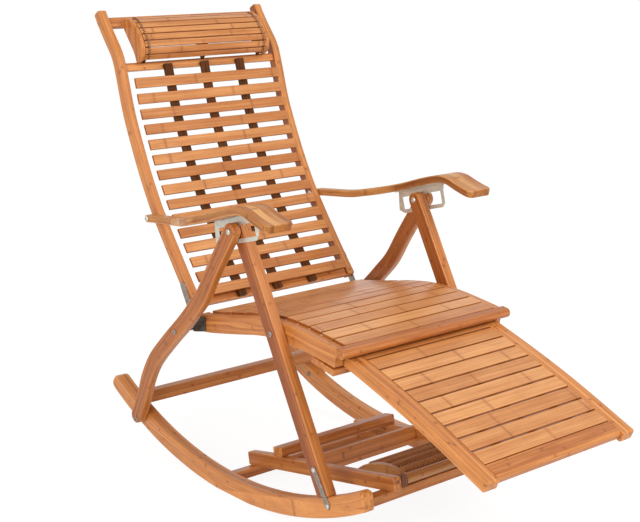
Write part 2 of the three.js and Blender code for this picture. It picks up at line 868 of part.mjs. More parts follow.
// Armrests: a bent board in side view, cut to its plan
const armShares = [
  [0, 0], [0.12, -0.05], [0.232, -0.09], [0.32, 0], [0.439, 0.18], [0.571, 0.46],
  [0.697, 0.8], [0.761, 0.94], [0.815, 1], [0.862, 0.86], [0.91, 0.52], [0.96, 0.2], [1, 0],
];
const armRearTop = [armHinge[0] + armRearBehind, armHinge[1] + armRearLift];
const armFrontTop = [legTop[0] - armFrontBefore, legTop[1] + armFrontLift];
const armCurve = arch(armRearTop, armFrontTop, -armRise, armShares);
const armLength = armCurve.getLength();
const armOutline = band(armCurve, 0, armLength, 0, armThickness, 24);
const armInnerRear = backRailOuter + 2 * pivotGap;
const armInnerFront = legInner + armInnerShift;
const armOuterFront = armInnerFront + armFrontWidth;
const armPlan = (sign) => {
  const plan = new THREE.Shape();
  const rear = armRearTop[0] + overrun;
  const front = armFrontTop[0] - overrun * 2;
  const round = armCornerRadius;
  plan.moveTo(sign * armInnerRear, rear);
  plan.lineTo(sign * (armInnerRear + armRearWidth), rear);
  plan.lineTo(sign * (armInnerRear + armRearWidth), armTaperEnd);
  plan.bezierCurveTo(
    sign * (armInnerRear + armRearWidth), (armTaperEnd + armTaperStart) / 2,
    sign * armOuterFront, (armTaperEnd + armTaperStart) / 2,
    sign * armOuterFront, armTaperStart,
  );
  plan.lineTo(sign * armOuterFront, armFrontTop[0] + round);
  plan.quadraticCurveTo(
    sign * armOuterFront, armFrontTop[0] - overrun,
    sign * (armOuterFront - round), armFrontTop[0] - overrun,
  );
  plan.lineTo(sign * (armInnerFront + round), front + overrun);
  plan.quadraticCurveTo(
    sign * armInnerFront, front + overrun,
    sign * armInnerFront, armFrontTop[0] + round,
  );
  plan.lineTo(sign * armInnerFront, armTaperStart);
  return plan;
};
for (const [side, sign] of sides) {
  const board = toSolid(drawn(
    armOutline, sign * (armInnerRear - overrun), sign * (armOuterFront + overrun), 0,
    [armPinHole],
  ));
  const column = toSolid(new THREE.ExtrudeGeometry(armPlan(sign), {
    depth: armFrontTop[1] + armRise + overrun,
    bevelEnabled: false,
    curveSegments: 8,
  }));
  addPiece(`armrest_${side}`, toGeometry(board.intersect(column)), bamboo());
}

// Steel plates under the armrests, with a notched slot for the leg-top bolt
const slope = THREE.MathUtils.degToRad(plateSlope);
const onPlate = (ahead, up) => [
  legTop[0] - Math.cos(slope) * ahead + Math.sin(slope) * up,
  legTop[1] + Math.sin(slope) * ahead + Math.cos(slope) * up,
];
const armDistance = (y) => {
  let low = 0;
  let high = armLength;
  for (let i = 0; i < 40; i += 1) {
    const middle = (low + high) / 2;
    if (beside(armCurve, middle, armThickness)[0] > y) {
      low = middle;
    } else {
      high = middle;
    }
  }
  return low;
};
const plateRearY = onPlate(-plateBehind, 0)[0];
const plateFrontY = onPlate(plateBefore, 0)[0];
const underArm = armThickness + plateSeatGap;
const plateTopPoints = [];
const plateSteps = 6;
for (let i = 0; i <= plateSteps; i += 1) {
  const y = plateRearY + (plateFrontY - plateRearY) * i / plateSteps;
  plateTopPoints.push(beside(armCurve, armDistance(y), underArm));
}
const plateOutline = [
  ...plateTopPoints,
  onPlate(plateBefore, slotAbove),
  onPlate(plateBefore, -slotBelow),
  onPlate(slotBefore, -slotBelow - plateStrip),
  onPlate(-slotBehind, -slotBelow - plateStrip),
  onPlate(-plateBehind, -slotBelow),
];
const slotOutline = [
  onPlate(slotBefore, -slotBelow),
  onPlate(slotBefore, slotAbove),
];
for (let i = 0; i < toothPlaces; i += 1) {
  const ahead = (toothPlaces / 2 - i - 0.5) * notchPitch + toothWidth / 2;
  slotOutline.push(
    onPlate(ahead, slotAbove),
    onPlate(ahead - toothWidth / 4, slotAbove - toothDepth),
    onPlate(ahead - toothWidth * 3 / 4, slotAbove - toothDepth),
    onPlate(ahead - toothWidth, slotAbove),
  );
}
slotOutline.push(onPlate(-slotBehind, slotAbove), onPlate(-slotBehind, -slotBelow));
const flangeOutline = band(
  armCurve, armDistance(plateRearY), armDistance(plateFrontY), underArm,
  underArm + armPlateThickness, plateSteps,
);
for (const [side, sign] of sides) {
  const shape = outlineShape(plateOutline);
  shape.holes.push(new THREE.Path(slotOutline.map(([y, z]) => new THREE.Vector2(y, z))));
  const sheet = new THREE.ExtrudeGeometry(shape, {
    depth: armPlateThickness,
    bevelEnabled: false,
  });
  sheet.translate(0, 0, sign > 0 ? plateInner : -plateOuter);
  sheet.applyMatrix4(sideways);
  const flange = drawn(flangeOutline, sign * plateOuter, sign * (plateOuter - flangeWidth));
  addPiece(`arm_plate_${side}`, joined([sheet, flange]), steel());
  const pinRows = boltRows(halfOpening - joinGap, armInnerRear + armRearWidth + joinGap);
  addPiece(`arm_pivot_bolt_${side}`, turned(mirrorRows(pinRows, sign), armHinge, boltSides), steel());
}

// Footrest
const footrestShares = [
  [0, 0], [0.096, 0.521], [0.185, 0.861], [0.32, 0.991], [0.479, 0.999], [0.639, 0.867],
  [0.799, 0.522], [0.937, 0.158], [1, 0],
];
const footRear = [seatFrontTop[0] + footRearBehind, seatFrontTop[1] - footRearDrop];
const footFront = [footRear[0] - footReach, footRear[1] - footFall];
const footHalfWidth = halfOpening - footSideRoom;
const footCurve = arch(footRear, footFront, -footRise, footrestShares);
const footLength = footCurve.getLength();
const footBarStart = footLength - footBarSetBack - footBarDepth;
const footSlatPitch = (footBarStart - footSlatFirst) / footSlatCount;
const footSlatWidth = footSlatPitch - footSlatGap;
const footRailOutline = band(footCurve, 0, footLength, 0, footRailDepth, 14);
const footRailInner = footHalfWidth - footRailWidth;
for (const [side, sign] of sides) {
  const glide = turned(mirrorRows([
    [footHalfWidth - sink, glideRadius],
    [halfOpening - joinGap, glideRadius],
  ], sign), beside(footCurve, glideInset, footRailDepth / 2), boltSides);
  addPiece(`footrest_rail_${side}`, joined([
    drawn(footRailOutline, sign * footRailInner, sign * footHalfWidth, softEdge),
    glide,
  ]), bamboo());
}
const footSpan = footRailInner - joinGap;
addPiece('footrest_front_bar', drawn(
  blockOn(footCurve, footBarStart, footBarDepth, 0, footRailDepth - softEdge, softEdge * 2),
  -footSpan, footSpan,
), bamboo());
addPiece('footrest_slats', slatMat(
  footCurve, footSlatFirst + footSlatPitch / 2, footSlatPitch, footSlatCount, footSlatWidth, 0,
  footSlatThickness, footSpan,
  {
    inward: 1, from: footRearBarStart, to: footBarStart - joinGap,
    thickness: seatBattenThickness, steps: 12,
  },
), paleBamboo());
const underSeatRail = (y) => {
  let low = 0;
  let high = seatLength;
  for (let i = 0; i < 40; i += 1) {
    const middle = (low + high) / 2;
    if (beside(seatCurve, middle, seatRailDepth)[0] > y) {
      low = middle;
    } else {
      high = middle;
    }
  }
  return beside(seatCurve, low, seatRailDepth)[1];
};
const footBoardPlace = footRear[0] - footBoardBefore;
const footBoardRear = [footBoardPlace, underSeatRail(footBoardPlace) - joinGap];
const boardTilt = boardTiltShare
  * Math.atan2(footRear[1] - footFront[1], footRear[0] - footFront[0]);
const onBoard = (ahead, up) => [
  footBoardRear[0] - Math.cos(boardTilt) * ahead - Math.sin(boardTilt) * up,
  footBoardRear[1] - Math.sin(boardTilt) * ahead + Math.cos(boardTilt) * up,
];
addPiece('footrest_rear_board', drawn(
  [
    onBoard(0, 0), onBoard(0, -footBoardThickness),
    onBoard(footBoardDepth, -footBoardThickness), onBoard(footBoardDepth, 0),
  ],
  -seatRailOuter, seatRailOuter, fineEdge,
), bamboo());

// Base unit between the rockers
const beamInner = halfOpening - beamSideRoom;
const beamRear = [beamRearPlace, rockerTopAt(beamRearPlace) - beamRearDrop];
const beamFront = [beamFrontPlace, rockerTopAt(beamFrontPlace) - beamFrontDrop];
const beamWay = Math.atan2(beamFront[1] - beamRear[1], beamRear[0] - beamFront[0]);
const onBeam = (ahead, up) => [
  beamRear[0] - Math.cos(beamWay) * ahead + Math.sin(beamWay) * up,
  beamRear[1] + Math.sin(beamWay) * ahead + Math.cos(beamWay) * up,
];
const beamLength = Math.hypot(beamRear[0] - beamFront[0], beamFront[1] - beamRear[1]);
const beamOutline = [
  onBeam(0, softEdge), onBeam(softEdge, 0), onBeam(beamLength, 0), onBeam(beamLength, beamDepth),
  onBeam(beamLength * humpEndShare, beamDepth), onBeam(beamLength * humpShare, beamDepth + softEdge),
  onBeam(softEdge * 2, beamDepth), onBeam(0, beamDepth - softEdge * 2),
];
const barBetween = rockerInner - joinGap;
for (const [side, sign] of sides) {
  addPiece(
    `base_beam_${side}`,
    drawn(beamOutline, sign * beamInner, sign * (beamInner + beamWidth), softEdge),
    bamboo(),
  );
}
const barUnder = (ahead) => {
  const points = [[0, 0], [0, -baseBarHeight], [baseBarDepth, -baseBarHeight], [baseBarDepth, 0]];
  return points.map(([a, b]) => onBeam(ahead + a, b - joinGap));
};
addPiece('base_rear_bar', drawn(barUnder(softEdge * 2), -barBetween, barBetween, fineEdge), bamboo());
addPiece(
  'base_front_bar',
  drawn(barUnder(beamLength - frontBarReach), -barBetween, barBetween, fineEdge),
  bamboo(),
);
addPiece('base_upper_bar', drawn([
  onBeam(upperBarPlace, beamDepth + softEdge),
  onBeam(upperBarPlace + upperBarDepth, beamDepth + joinGap),
  onBeam(upperBarPlace + upperBarDepth, beamDepth + upperBarHeight),
  onBeam(upperBarPlace, beamDepth + upperBarHeight),
], -beamInner - beamWidth, beamInner + beamWidth, softEdge), bamboo());
const betweenBeams = beamInner - joinGap;
addPiece('base_cross_board', drawn([
  onBeam(crossBoardPlace, -softEdge),
  onBeam(crossBoardPlace + crossBoardThickness, -softEdge),
  onBeam(crossBoardPlace + crossBoardThickness, crossBoardHeight - softEdge),
  onBeam(crossBoardPlace, crossBoardHeight - softEdge),
], -betweenBeams, betweenBeams), bamboo());

// Foot massager: cheeks, ridged rollers on spindles, and a ringed front bar
const massagerEnd = beamLength - softEdge * 2;
const cheekStart = massagerEnd - cheekLength - frontRollerRadius * 2;
const cheekOuter = betweenBeams - cheekInset;
const cheekShares = [
  [0, 0], [1, 0], [1, 0.42], [0.86, 0.72], [0.68, 0.92], [0.5, 1], [0.32, 0.92], [0.14, 0.72],
  [0, 0.42],
];
const rollerPlaces = [];
for (let i = 0; i < rollerCount; i += 1) {
  const ahead = cheekStart + cheekLength / 2 + (i - (rollerCount - 1) / 2) * rollerPitch;
  const fall = rollerFallShare * Math.abs(i - (rollerCount - 1) / 2);
  const rise = cheekHeight * (rollerRiseShare - fall);
  rollerPlaces.push(onBeam(ahead, rise));
}
const cheekOutline = cheekShares.map(([a, b]) => onBeam(cheekStart + a * cheekLength, b * cheekHeight));
for (const [side, sign] of sides) {
  const holes = rollerPlaces.map((place) => [...place, rollerSpindle + slideGap]);
  addPiece(
    `massager_cheek_${side}`,
    drawn(cheekOutline, sign * (cheekOuter - cheekThickness), sign * cheekOuter, fineEdge, holes),
    paleBamboo(),
  );
}
const rollerHalf = cheekOuter - cheekThickness - pivotGap;
rollerPlaces.forEach((place, index) => {
  const rows = [[-cheekOuter + softEdge, rollerSpindle], [-rollerHalf, rollerSpindle]];
  const ringPitch = 2 * rollerHalf / rollerRings;
  for (let i = 0; i < rollerRings; i += 1) {
    const start = -rollerHalf + i * ringPitch;
    rows.push(
      [start, rollerRadius - rollerGroove],
      [start + ringPitch * ringFlankShare, rollerRadius],
      [start + ringPitch * (1 - ringFlankShare), rollerRadius],
    );
  }
  rows.push(
    [rollerHalf, rollerRadius - rollerGroove],
    [rollerHalf, rollerSpindle],
    [cheekOuter - softEdge, rollerSpindle],
  );
  addPiece(`massage_roller_${index + 1}`, turned(rows, place, roundSides), darkBamboo());
});
const railRows = [[-betweenBeams, frontRollerRadius]];
for (const start of [-1, 1]) {
  const place = start * (betweenBeams - ringProud * 4);
  for (const ring of [-1, 0, 1]) {
    const centre = place + ring * ringProud * 2;
    railRows.push(
      [centre - ringProud, frontRollerRadius],
      [centre - ringProud / 2, frontRollerRadius + ringProud],
      [centre + ringProud / 2, frontRollerRadius + ringProud],
      [centre + ringProud, frontRollerRadius],
    );
  }
}
railRows.push([betweenBeams, frontRollerRadius]);
addPiece(
  'massager_front_bar',
  turned(railRows, onBeam(massagerEnd - frontRollerRadius, beamDepth / 2), roundSides),
  darkBamboo(),
);

// The footprint's centre becomes the origin, with the floor at zero.
const bounds = new THREE.Box3().setFromObject(chair);
const middle = bounds.getCenter(new THREE.Vector3());
chair.position.set(-middle.x, -middle.y, -bounds.min.z);

const part = new THREE.Group();
part.add(chair);
export default part;
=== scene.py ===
import functools
import bpy
import numpy as np
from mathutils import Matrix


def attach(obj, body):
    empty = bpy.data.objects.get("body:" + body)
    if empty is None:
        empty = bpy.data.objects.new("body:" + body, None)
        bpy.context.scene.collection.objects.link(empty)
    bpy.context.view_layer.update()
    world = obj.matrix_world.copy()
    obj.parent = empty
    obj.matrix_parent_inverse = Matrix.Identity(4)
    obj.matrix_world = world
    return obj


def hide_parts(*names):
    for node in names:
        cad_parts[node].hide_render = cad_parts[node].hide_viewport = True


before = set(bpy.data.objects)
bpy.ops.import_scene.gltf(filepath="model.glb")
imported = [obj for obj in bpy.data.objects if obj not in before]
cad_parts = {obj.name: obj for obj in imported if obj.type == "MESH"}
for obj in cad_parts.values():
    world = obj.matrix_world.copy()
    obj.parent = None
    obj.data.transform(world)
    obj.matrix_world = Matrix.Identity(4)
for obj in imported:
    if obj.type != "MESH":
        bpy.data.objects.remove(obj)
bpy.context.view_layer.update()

# Rockers
#
# Two curved runners of laminated bamboo, pressed in a mould from thin strips, sanded round at
# the edges and lacquered. Everything else is bolted to them. Drawings are side views in
# millimetres, [forward-back, height], with the leg tops 36 in front of the drawing's zero line.
FRAME_SHIFT = np.array([0, 0.078923, -0.001864])
ROCKER_RADIUS = 931
ROCKER_DEPTH = 43
ROCKER_FRONT = 434.2
ROCKER_REAR = 468.6
ROCKER_EDGE = 4.2
SANDED = 0.25
WORN_FLAT = 1.9
LEG_OUTER = 267
ROCKER_INNER = 238
SIDES = (("l", 1), ("r", -1))


def skin(rows, grain, worn, stain=0.0):
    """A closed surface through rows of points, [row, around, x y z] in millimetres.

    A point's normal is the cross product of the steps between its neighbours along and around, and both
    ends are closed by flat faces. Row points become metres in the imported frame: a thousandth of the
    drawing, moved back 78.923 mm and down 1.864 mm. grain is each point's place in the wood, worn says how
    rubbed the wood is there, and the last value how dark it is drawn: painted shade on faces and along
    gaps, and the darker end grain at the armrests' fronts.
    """
    count, around = rows.shape[:2]
    points = rows * 0.001 + FRAME_SHIFT
    lengthways = np.gradient(points, axis=0)
    lengthways[1:-1] = points[2:] - points[:-2]
    crossways = np.roll(points, -1, 1) - np.roll(points, 1, 1)
    normals = np.cross(crossways, lengthways)
    for end in (0, -1):
        ring = points[end] - points[end].mean(0)
        flat = np.cross(ring, np.roll(ring, -1, 0)).sum(0)
        inward = points[1 if end == 0 else -2].mean(0) - points[end].mean(0)
        normals[end] = flat * -np.sign(flat @ inward)
    normals /= np.linalg.norm(normals, axis=2, keepdims=True) + 1e-12
    index = np.arange(count * around).reshape(count, around)
    after = np.roll(index, -1, 1)
    quads = np.stack([index[:-1], after[:-1], after[1:], index[1:]], -1).reshape(-1, 4)
    flat_points = points.reshape(-1, 3)
    corner = flat_points[quads]
    middle = flat_points.mean(0)
    face = np.cross(corner[:, 2] - corner[:, 0], corner[:, 3] - corner[:, 1])
    volume = ((corner.mean(1) - middle) * face).sum()
    if volume < 0:
        quads = quads[:, ::-1]
        face = -face
    caps = [index[0][::-1], index[-1]] if volume > 0 else [index[0], index[-1][::-1]]
    inner = normals.reshape(-1, 3)
    agree = (inner[quads[:, 0]] * face).sum()
    body = normals[1:-1] * (np.sign(agree) if agree else 1)
    normals = np.concatenate([normals[:1], body, normals[-1:]])
    return {
        "points": flat_points, "normals": normals.reshape(-1, 3), "quads": quads, "caps": caps,
        "grain": grain.reshape(-1, 3), "worn": worn.reshape(-1),
        "stain": (np.zeros((count, around)) + stain).reshape(-1),
    }


def eased(corners, radii, steps=4):
    """A polygon with its corners turned into arcs, each starting radius / tan(half the angle)
    from its corner and centred radius / sin(half the angle) from it."""
    corners = np.asarray(corners, float)
    radii = np.broadcast_to(np.asarray(radii, float), len(corners))
    unit = lambda v: v / np.linalg.norm(v, axis=1, keepdims=True)
    back = unit(np.roll(corners, 1, 0) - corners)
    ahead = unit(np.roll(corners, -1, 0) - corners)
    half = np.arccos(np.clip((back * ahead).sum(1), -1, 1)) / 2
    centre = corners + unit(back + ahead) * (radii / np.sin(half))[:, None]
    reach = (radii / np.tan(half))[:, None]
    first = corners + back * reach - centre
    last = corners + ahead * reach - centre
    sweep = (np.pi - 2 * half)[:, None]
    share = np.linspace(0, 1, steps + 1)[None]
    arc = (
        first[:, None] * (np.sin((1 - share) * sweep) / np.sin(sweep))[..., None]
        + last[:, None] * (np.sin(share * sweep) / np.sin(sweep))[..., None]
    )
    return (centre[:, None] + arc).reshape(-1, 2)


def stepped(points, step):
    """A closed line with each side cut into equal lengths no longer than step."""
    ahead = np.roll(points, -1, 0)
    counts = np.maximum(1, np.ceil(np.linalg.norm(ahead - points, axis=1) / step)).astype(int)
    which = np.repeat(np.arange(len(points)), counts)
    share = (np.arange(counts.sum()) - np.repeat(np.cumsum(counts) - counts, counts)) / counts[which]
    return points[which] + (ahead - points)[which] * share[:, None]


def sawn(outline, plan, low, high, edge, lengthwise=True, shift=(0, 0, 0), faces=(0, 0), painted_flank_shade=0):
    """A side outline carried from X = low to X = high with quarter-round edges: a row at angle a
    lies edge (1 - cos a) inside the outline and edge (1 - sin a) inside the face. plan gives
    each outline point's place in the wood, and the grain runs along it or along X. faces gives the painted
    shade on the low and on the high face, and the flank value that on the plan's two ends.
    The edges are worn, and so are bends of 2.5 mm radius or less, wider ones in proportion."""
    outline = np.asarray(outline, float)
    plan = np.asarray(plan, float)
    nearby = np.roll(outline, -1, 0)
    if (outline[:, 0] * nearby[:, 1] - outline[:, 1] * nearby[:, 0]).sum() < 0:
        outline, plan = outline[::-1], plan[::-1]
    step = np.roll(outline, -1, 0) - np.roll(outline, 1, 0)
    out = np.stack([step[:, 1], -step[:, 0]], -1)
    out /= np.linalg.norm(out, axis=1, keepdims=True)
    before = outline - np.roll(outline, 1, 0)
    after = np.roll(outline, -1, 0) - outline
    turn = np.abs(np.arctan2(
        before[:, 0] * after[:, 1] - before[:, 1] * after[:, 0], (before * after).sum(1)
    ))
    span = (np.linalg.norm(before, axis=1) + np.linalg.norm(after, axis=1)) / 2
    bent = np.clip(2.5 * turn / span, 0, 1)
    angle = np.radians([90, 60, 30, 0])
    angles = np.concatenate([angle, angle[::-1]])
    inset = edge * (1 - np.cos(angles))
    across = np.concatenate([low + edge * (1 - np.sin(angle)), high - edge * (1 - np.sin(angle[::-1]))])
    flat = outline[None] - out[None] * inset[:, None, None]
    x = np.broadcast_to(across[:, None, None], flat.shape[:2] + (1,))
    rows = np.concatenate([x, flat], -1)
    place = np.broadcast_to(plan[None], flat.shape)
    grain = (place[..., :1], x, place[..., 1:]) if lengthwise else (x, place[..., :1], place[..., 1:])
    worn = np.maximum(np.sin(2 * angles)[:, None], bent[None] * np.cos(angles)[:, None])
    # Painted shade: the low and high faces, and the plan's two ends, are marked dark for the finish to
    # multiply in.
    stain = np.array([faces[0], faces[0] * 0.7, 0, 0, 0, 0, faces[1] * 0.7, faces[1]])[:, None]
    reach = np.abs(plan[:, 0] - (plan[:, 0].max() + plan[:, 0].min()) / 2)
    stain = np.maximum(stain, painted_flank_shade * (reach > reach.max() - 1.1)[None])
    return skin(rows, np.concatenate(grain, -1) + np.array(shift, float), worn, stain)


def made(name, parts, finishes):
    """One mesh object of several skins. Each part is (skin, tone, finish number), where tone
    tells one piece of wood from the next. Grain, wear, the darkening for painted shade and end grain, and
    tone are kept on the points for the finishes to read, and the object stays at the origin."""
    points = np.concatenate([p["points"] for p, tone, number in parts])
    faces, numbers, start = [], [], 0
    for p, tone, number in parts:
        faces += (p["quads"] + start).tolist() + [(cap + start).tolist() for cap in p["caps"]]
        numbers += [number] * (len(p["quads"]) + 2)
        start += len(p["points"])
    mesh = bpy.data.meshes.new(name)
    mesh.from_pydata(points.tolist(), [], faces)
    for finish in finishes:
        mesh.materials.append(finish)
    mesh.polygons.foreach_set("material_index", numbers)
    mesh.polygons.foreach_set("use_smooth", [True] * len(faces))
    grain = np.concatenate([p["grain"] for p, tone, number in parts])
    mesh.attributes.new("grain", "FLOAT_VECTOR", "POINT").data.foreach_set("vector", grain.ravel())
    # The darkening kept here is painted shade on faces and along slat gaps, and the darker end grain of the
    # armrests' fronts.
    for wear in ("worn", "stain"):
        amount = np.concatenate([p[wear] for p, tone, number in parts])
        mesh.attributes.new(wear, "FLOAT", "POINT").data.foreach_set("value", amount)
    tones = np.concatenate([np.full(len(p["points"]), tone) for p, tone, number in parts])
    mesh.attributes.new("tone", "FLOAT", "POINT").data.foreach_set("value", tones)
    mesh.update()
    normals = np.concatenate([p["normals"] for p, tone, number in parts])
    mesh.normals_split_custom_set_from_vertices(normals.tolist())
    piece = bpy.data.objects.new(name, mesh)
    bpy.context.scene.collection.objects.link(piece)
    return piece


class Channel:
    """A socket of a material. Sums, products and powers of it add Math nodes."""

    def __init__(self, socket):
        self.socket = socket
        self.tree = socket.id_data

    @classmethod
    def node(cls, tree, kind, settings, values, output=0):
        """One node: its settings first, then the values or links of its sockets."""
        made_node = tree.nodes.new(kind)
        for key, value in settings.items():
            if key == "stops":
                for place, colour in value[2:]:
                    made_node.color_ramp.elements.new(place)
                for stop, (place, colour) in zip(made_node.color_ramp.elements, value):
                    stop.position, stop.color = place, colour
            else:
                setattr(made_node, key, value)
        for key, value in values.items():
            socket = cls.find(made_node.inputs, key)
            if isinstance(value, Channel):
                tree.links.new(value.socket, socket)
            else:
                socket.default_value = value
        return cls(cls.find(made_node.outputs, output))

    @staticmethod
    def find(sockets, key):
        """The socket with a number, an identifier or a name."""
        if isinstance(key, int):
            return sockets[key]
        return next(s for s in sockets if key in (s.identifier, s.name))

    def also(self, output):
        """Another output of the same node."""
        return Channel(self.find(self.socket.node.outputs, output))

    def math(self, operation, *values, clamp=False):
        settings = {"operation": operation, "use_clamp": clamp}
        return self.node(self.tree, "ShaderNodeMath", settings, dict(enumerate(values)))

    def __add__(self, other):
        return self.math("ADD", self, other)

    __radd__ = __add__

    def __mul__(self, other):
        return self.math("MULTIPLY", self, other)

    __rmul__ = __mul__

    def __sub__(self, other):
        return self.math("SUBTRACT", self, other)

    def __rsub__(self, other):
        return self.math("SUBTRACT", other, self)

    def __truediv__(self, other):
        return self.math("DIVIDE", self, other)

    def __rtruediv__(self, other):
        return self.math("DIVIDE", other, self)

    def __pow__(self, other):
        return self.math("POWER", self, other)

    def held(self):
        """The value kept between zero and one."""
        return self.math("ADD", self, 0.0, clamp=True)


def lacquered(name, pale, dark, knot, strip, layer, knots=280, uneven=1.0, gloss=0.4, coat=0.16):
    """Laminated bamboo under satin lacquer, drawn in the wood's own millimetres.

    Strips of the given width and layer thickness each get a chance number. The shade between
    dark and pale is their chance, the piece's tone and two noises drawn out along the grain.
    Knot rings come every knots mm with each strip's own shift: a thin line and a wide halo.
    Worn places mix towards bare wood, and places marked dark are multiplied by a dark brown: painted shade
    on faces and along slat gaps, and the darker end grain of the armrests' fronts. gloss is the roughness
    before noise, and coat the weight of the lacquer.
    """
    finish = bpy.data.materials.new(name)
    finish.use_nodes = True
    tree = finish.node_tree
    node = functools.partial(Channel.node, tree)
    grain = node("ShaderNodeAttribute", {"attribute_name": "grain"}, {}, "Vector")
    worn = node("ShaderNodeAttribute", {"attribute_name": "worn"}, {}, "Fac")
    tone = node("ShaderNodeAttribute", {"attribute_name": "tone"}, {}, "Fac")
    stain = node("ShaderNodeAttribute", {"attribute_name": "stain"}, {}, "Fac")
    along = node("ShaderNodeSeparateXYZ", {}, {0: grain})
    across, down = along.also(1), along.also(2)
    column, course = across / strip, down / layer
    cell = node("ShaderNodeCombineXYZ", {}, {
        0: column.math("FLOOR", column), 1: course.math("FLOOR", course), 2: tone * 61.7,
    })
    chance = node("ShaderNodeTexWhiteNoise", {"noise_dimensions": "3D"}, {"Vector": cell}, "Value")
    moved = along + chance * 2900

    def drawn_out(slow, fast, detail):
        """A noise that changes slowly along the grain and fast across it."""
        where = node("ShaderNodeCombineXYZ", {}, {
            0: moved * slow, 1: across * fast, 2: down * fast + tone * 40,
        })
        return node("ShaderNodeTexNoise", {}, {
            "Vector": where, "Scale": 1.0, "Detail": detail, "Roughness": 0.6,
        }, "Fac")

    fibre = drawn_out(0.012, 0.9, 3.0)
    streak = drawn_out(0.003, 0.17, 2.0)
    fleck = drawn_out(0.09, 2.6, 1.0)
    cloud = drawn_out(0.011, 0.03, 1.0)
    shade = (
        0.5 + (fibre - 0.5) * 1.3 + (streak - 0.5) * 1.6 + (cloud - 0.5) * 0.7
        + (chance - 0.5) * 0.6 * uneven + (tone - 0.5) * 0.9
    ).held()
    wood = node("ShaderNodeMix", {"data_type": "RGBA"}, {
        "Factor_Float": shade, "A_Color": dark, "B_Color": pale,
    }, "Result_Color")
    turn = along / knots + chance * 7.3 + tone * 3.1 + (streak - 0.5) * 0.012
    ring = turn.math("ABSOLUTE", turn.math("FRACT", turn) - 0.5) * knots
    line = (1 - ring / 1.3).held()
    halo = (1 - ring / 11).held() ** 2
    knotted = node("ShaderNodeMix", {"data_type": "RGBA"}, {
        "Factor_Float": (line * 0.55 + halo * 0.5).held(), "A_Color": wood, "B_Color": knot,
    }, "Result_Color")
    fold = column.math("ABSOLUTE", column.math("FRACT", column) - 0.5)
    seam = (1 - (0.5 - fold) * strip / 0.45).held()
    pore = ((fleck - 0.62) * 7).held()
    grooves = (seam * 0.45 + pore * 0.3).held()
    lined = node("ShaderNodeMix", {"data_type": "RGBA", "blend_type": "MULTIPLY"}, {
        "Factor_Float": grooves, "A_Color": knotted, "B_Color": (0.36, 0.2, 0.12, 1),
    }, "Result_Color")
    rubbed = worn * (0.3 + (cloud - 0.5) * 1.2 + (fibre - 0.5) * 0.6).held()
    bare = [min(1, channel * 1.25) for channel in pale[:3]] + [1]
    colour = node("ShaderNodeMix", {"data_type": "RGBA"}, {
        "Factor_Float": rubbed * 0.55, "A_Color": lined, "B_Color": bare,
    }, "Result_Color")
    # Painted shade: marked faces and slat edges are multiplied by this dark brown; at the armrests' fronts
    # it stands for their darker end grain.
    colour = node("ShaderNodeMix", {"data_type": "RGBA", "blend_type": "MULTIPLY"}, {
        "Factor_Float": stain, "A_Color": colour, "B_Color": (0.54, 0.37, 0.19, 1),
    }, "Result_Color")
    surface = tree.nodes["Principled BSDF"]
    height = fibre * 0.5 - seam * 0.8 - pore * 0.5 + line * 0.6
    bump = node("ShaderNodeBump", {}, {"Strength": 0.35, "Distance": 0.00012, "Height": height})
    tree.links.new(colour.socket, surface.inputs["Base Color"])
    rough = gloss + (fibre - 0.5) * 0.22 + pore * 0.12 + halo * 0.05 - rubbed * 0.08
    tree.links.new(rough.socket, surface.inputs["Roughness"])
    tree.links.new(bump.socket, surface.inputs["Normal"])
    surface.inputs["Specular IOR Level"].default_value = coat * 2
    surface.inputs["Coat Weight"].default_value = coat
    surface.inputs["Coat Roughness"].default_value = 0.16
    return finish


pressed = lacquered(
    "pressed_bamboo", (0.74, 0.3, 0.08, 1), (0.4, 0.115, 0.02, 1), (0.22, 0.055, 0.01, 1),
    strip=8, layer=7.5, uneven=1.2,
)


def rocker_line(turns, rises):
    """Points on the arc: turn is the angle from the lowest point, rise the height off the sole.
    The sole is worn flat in its middle, where the runner stands."""
    radius = ROCKER_RADIUS - SANDED - np.asarray(rises, float)
    height = np.maximum(ROCKER_RADIUS - radius * np.cos(turns), WORN_FLAT)
    return np.stack([radius * np.sin(turns), height], -1)


toe = -np.arcsin(ROCKER_FRONT / ROCKER_RADIUS)
heel = np.arcsin(ROCKER_REAR / ROCKER_RADIUS)
sole = np.linspace(toe, heel, 90)
depth_turn = ROCKER_DEPTH / ROCKER_RADIUS
heel_turns = heel + depth_turn * np.array([0.2, 0.35, 0.42, 0.44, 0.42, 0.35, 0.22, 0.1])
heel_rises = ROCKER_DEPTH * np.array([0.02, 0.1, 0.22, 0.4, 0.58, 0.74, 0.88, 0.96])
toe_turns = toe - depth_turn * np.array([0.03, 0.12, 0.2, 0.27, 0.3, 0.2, 0.08])
toe_rises = ROCKER_DEPTH * np.array([0.985, 0.95, 0.89, 0.82, 0.7, 0.42, 0.12])
rocker_turns = np.concatenate([sole, heel_turns, sole[::-1], toe_turns])
rocker_rises = np.concatenate([0 * sole, heel_rises, 0 * sole + ROCKER_DEPTH - SANDED, toe_rises])
for side, sign in SIDES:
    low, high = sorted((sign * ROCKER_INNER, sign * LEG_OUTER))
    wood = np.stack([rocker_turns * ROCKER_RADIUS, rocker_rises], -1)
    runner = made(f"rocker_wood_{side}", [(sawn(
        rocker_line(rocker_turns, rocker_rises), wood, low, high, ROCKER_EDGE,
        shift=(900 + 400 * sign, 0, 2),
    ), 0.68, 0)], [pressed])
    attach(runner, "frame")
    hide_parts(f"rocker_{side}")

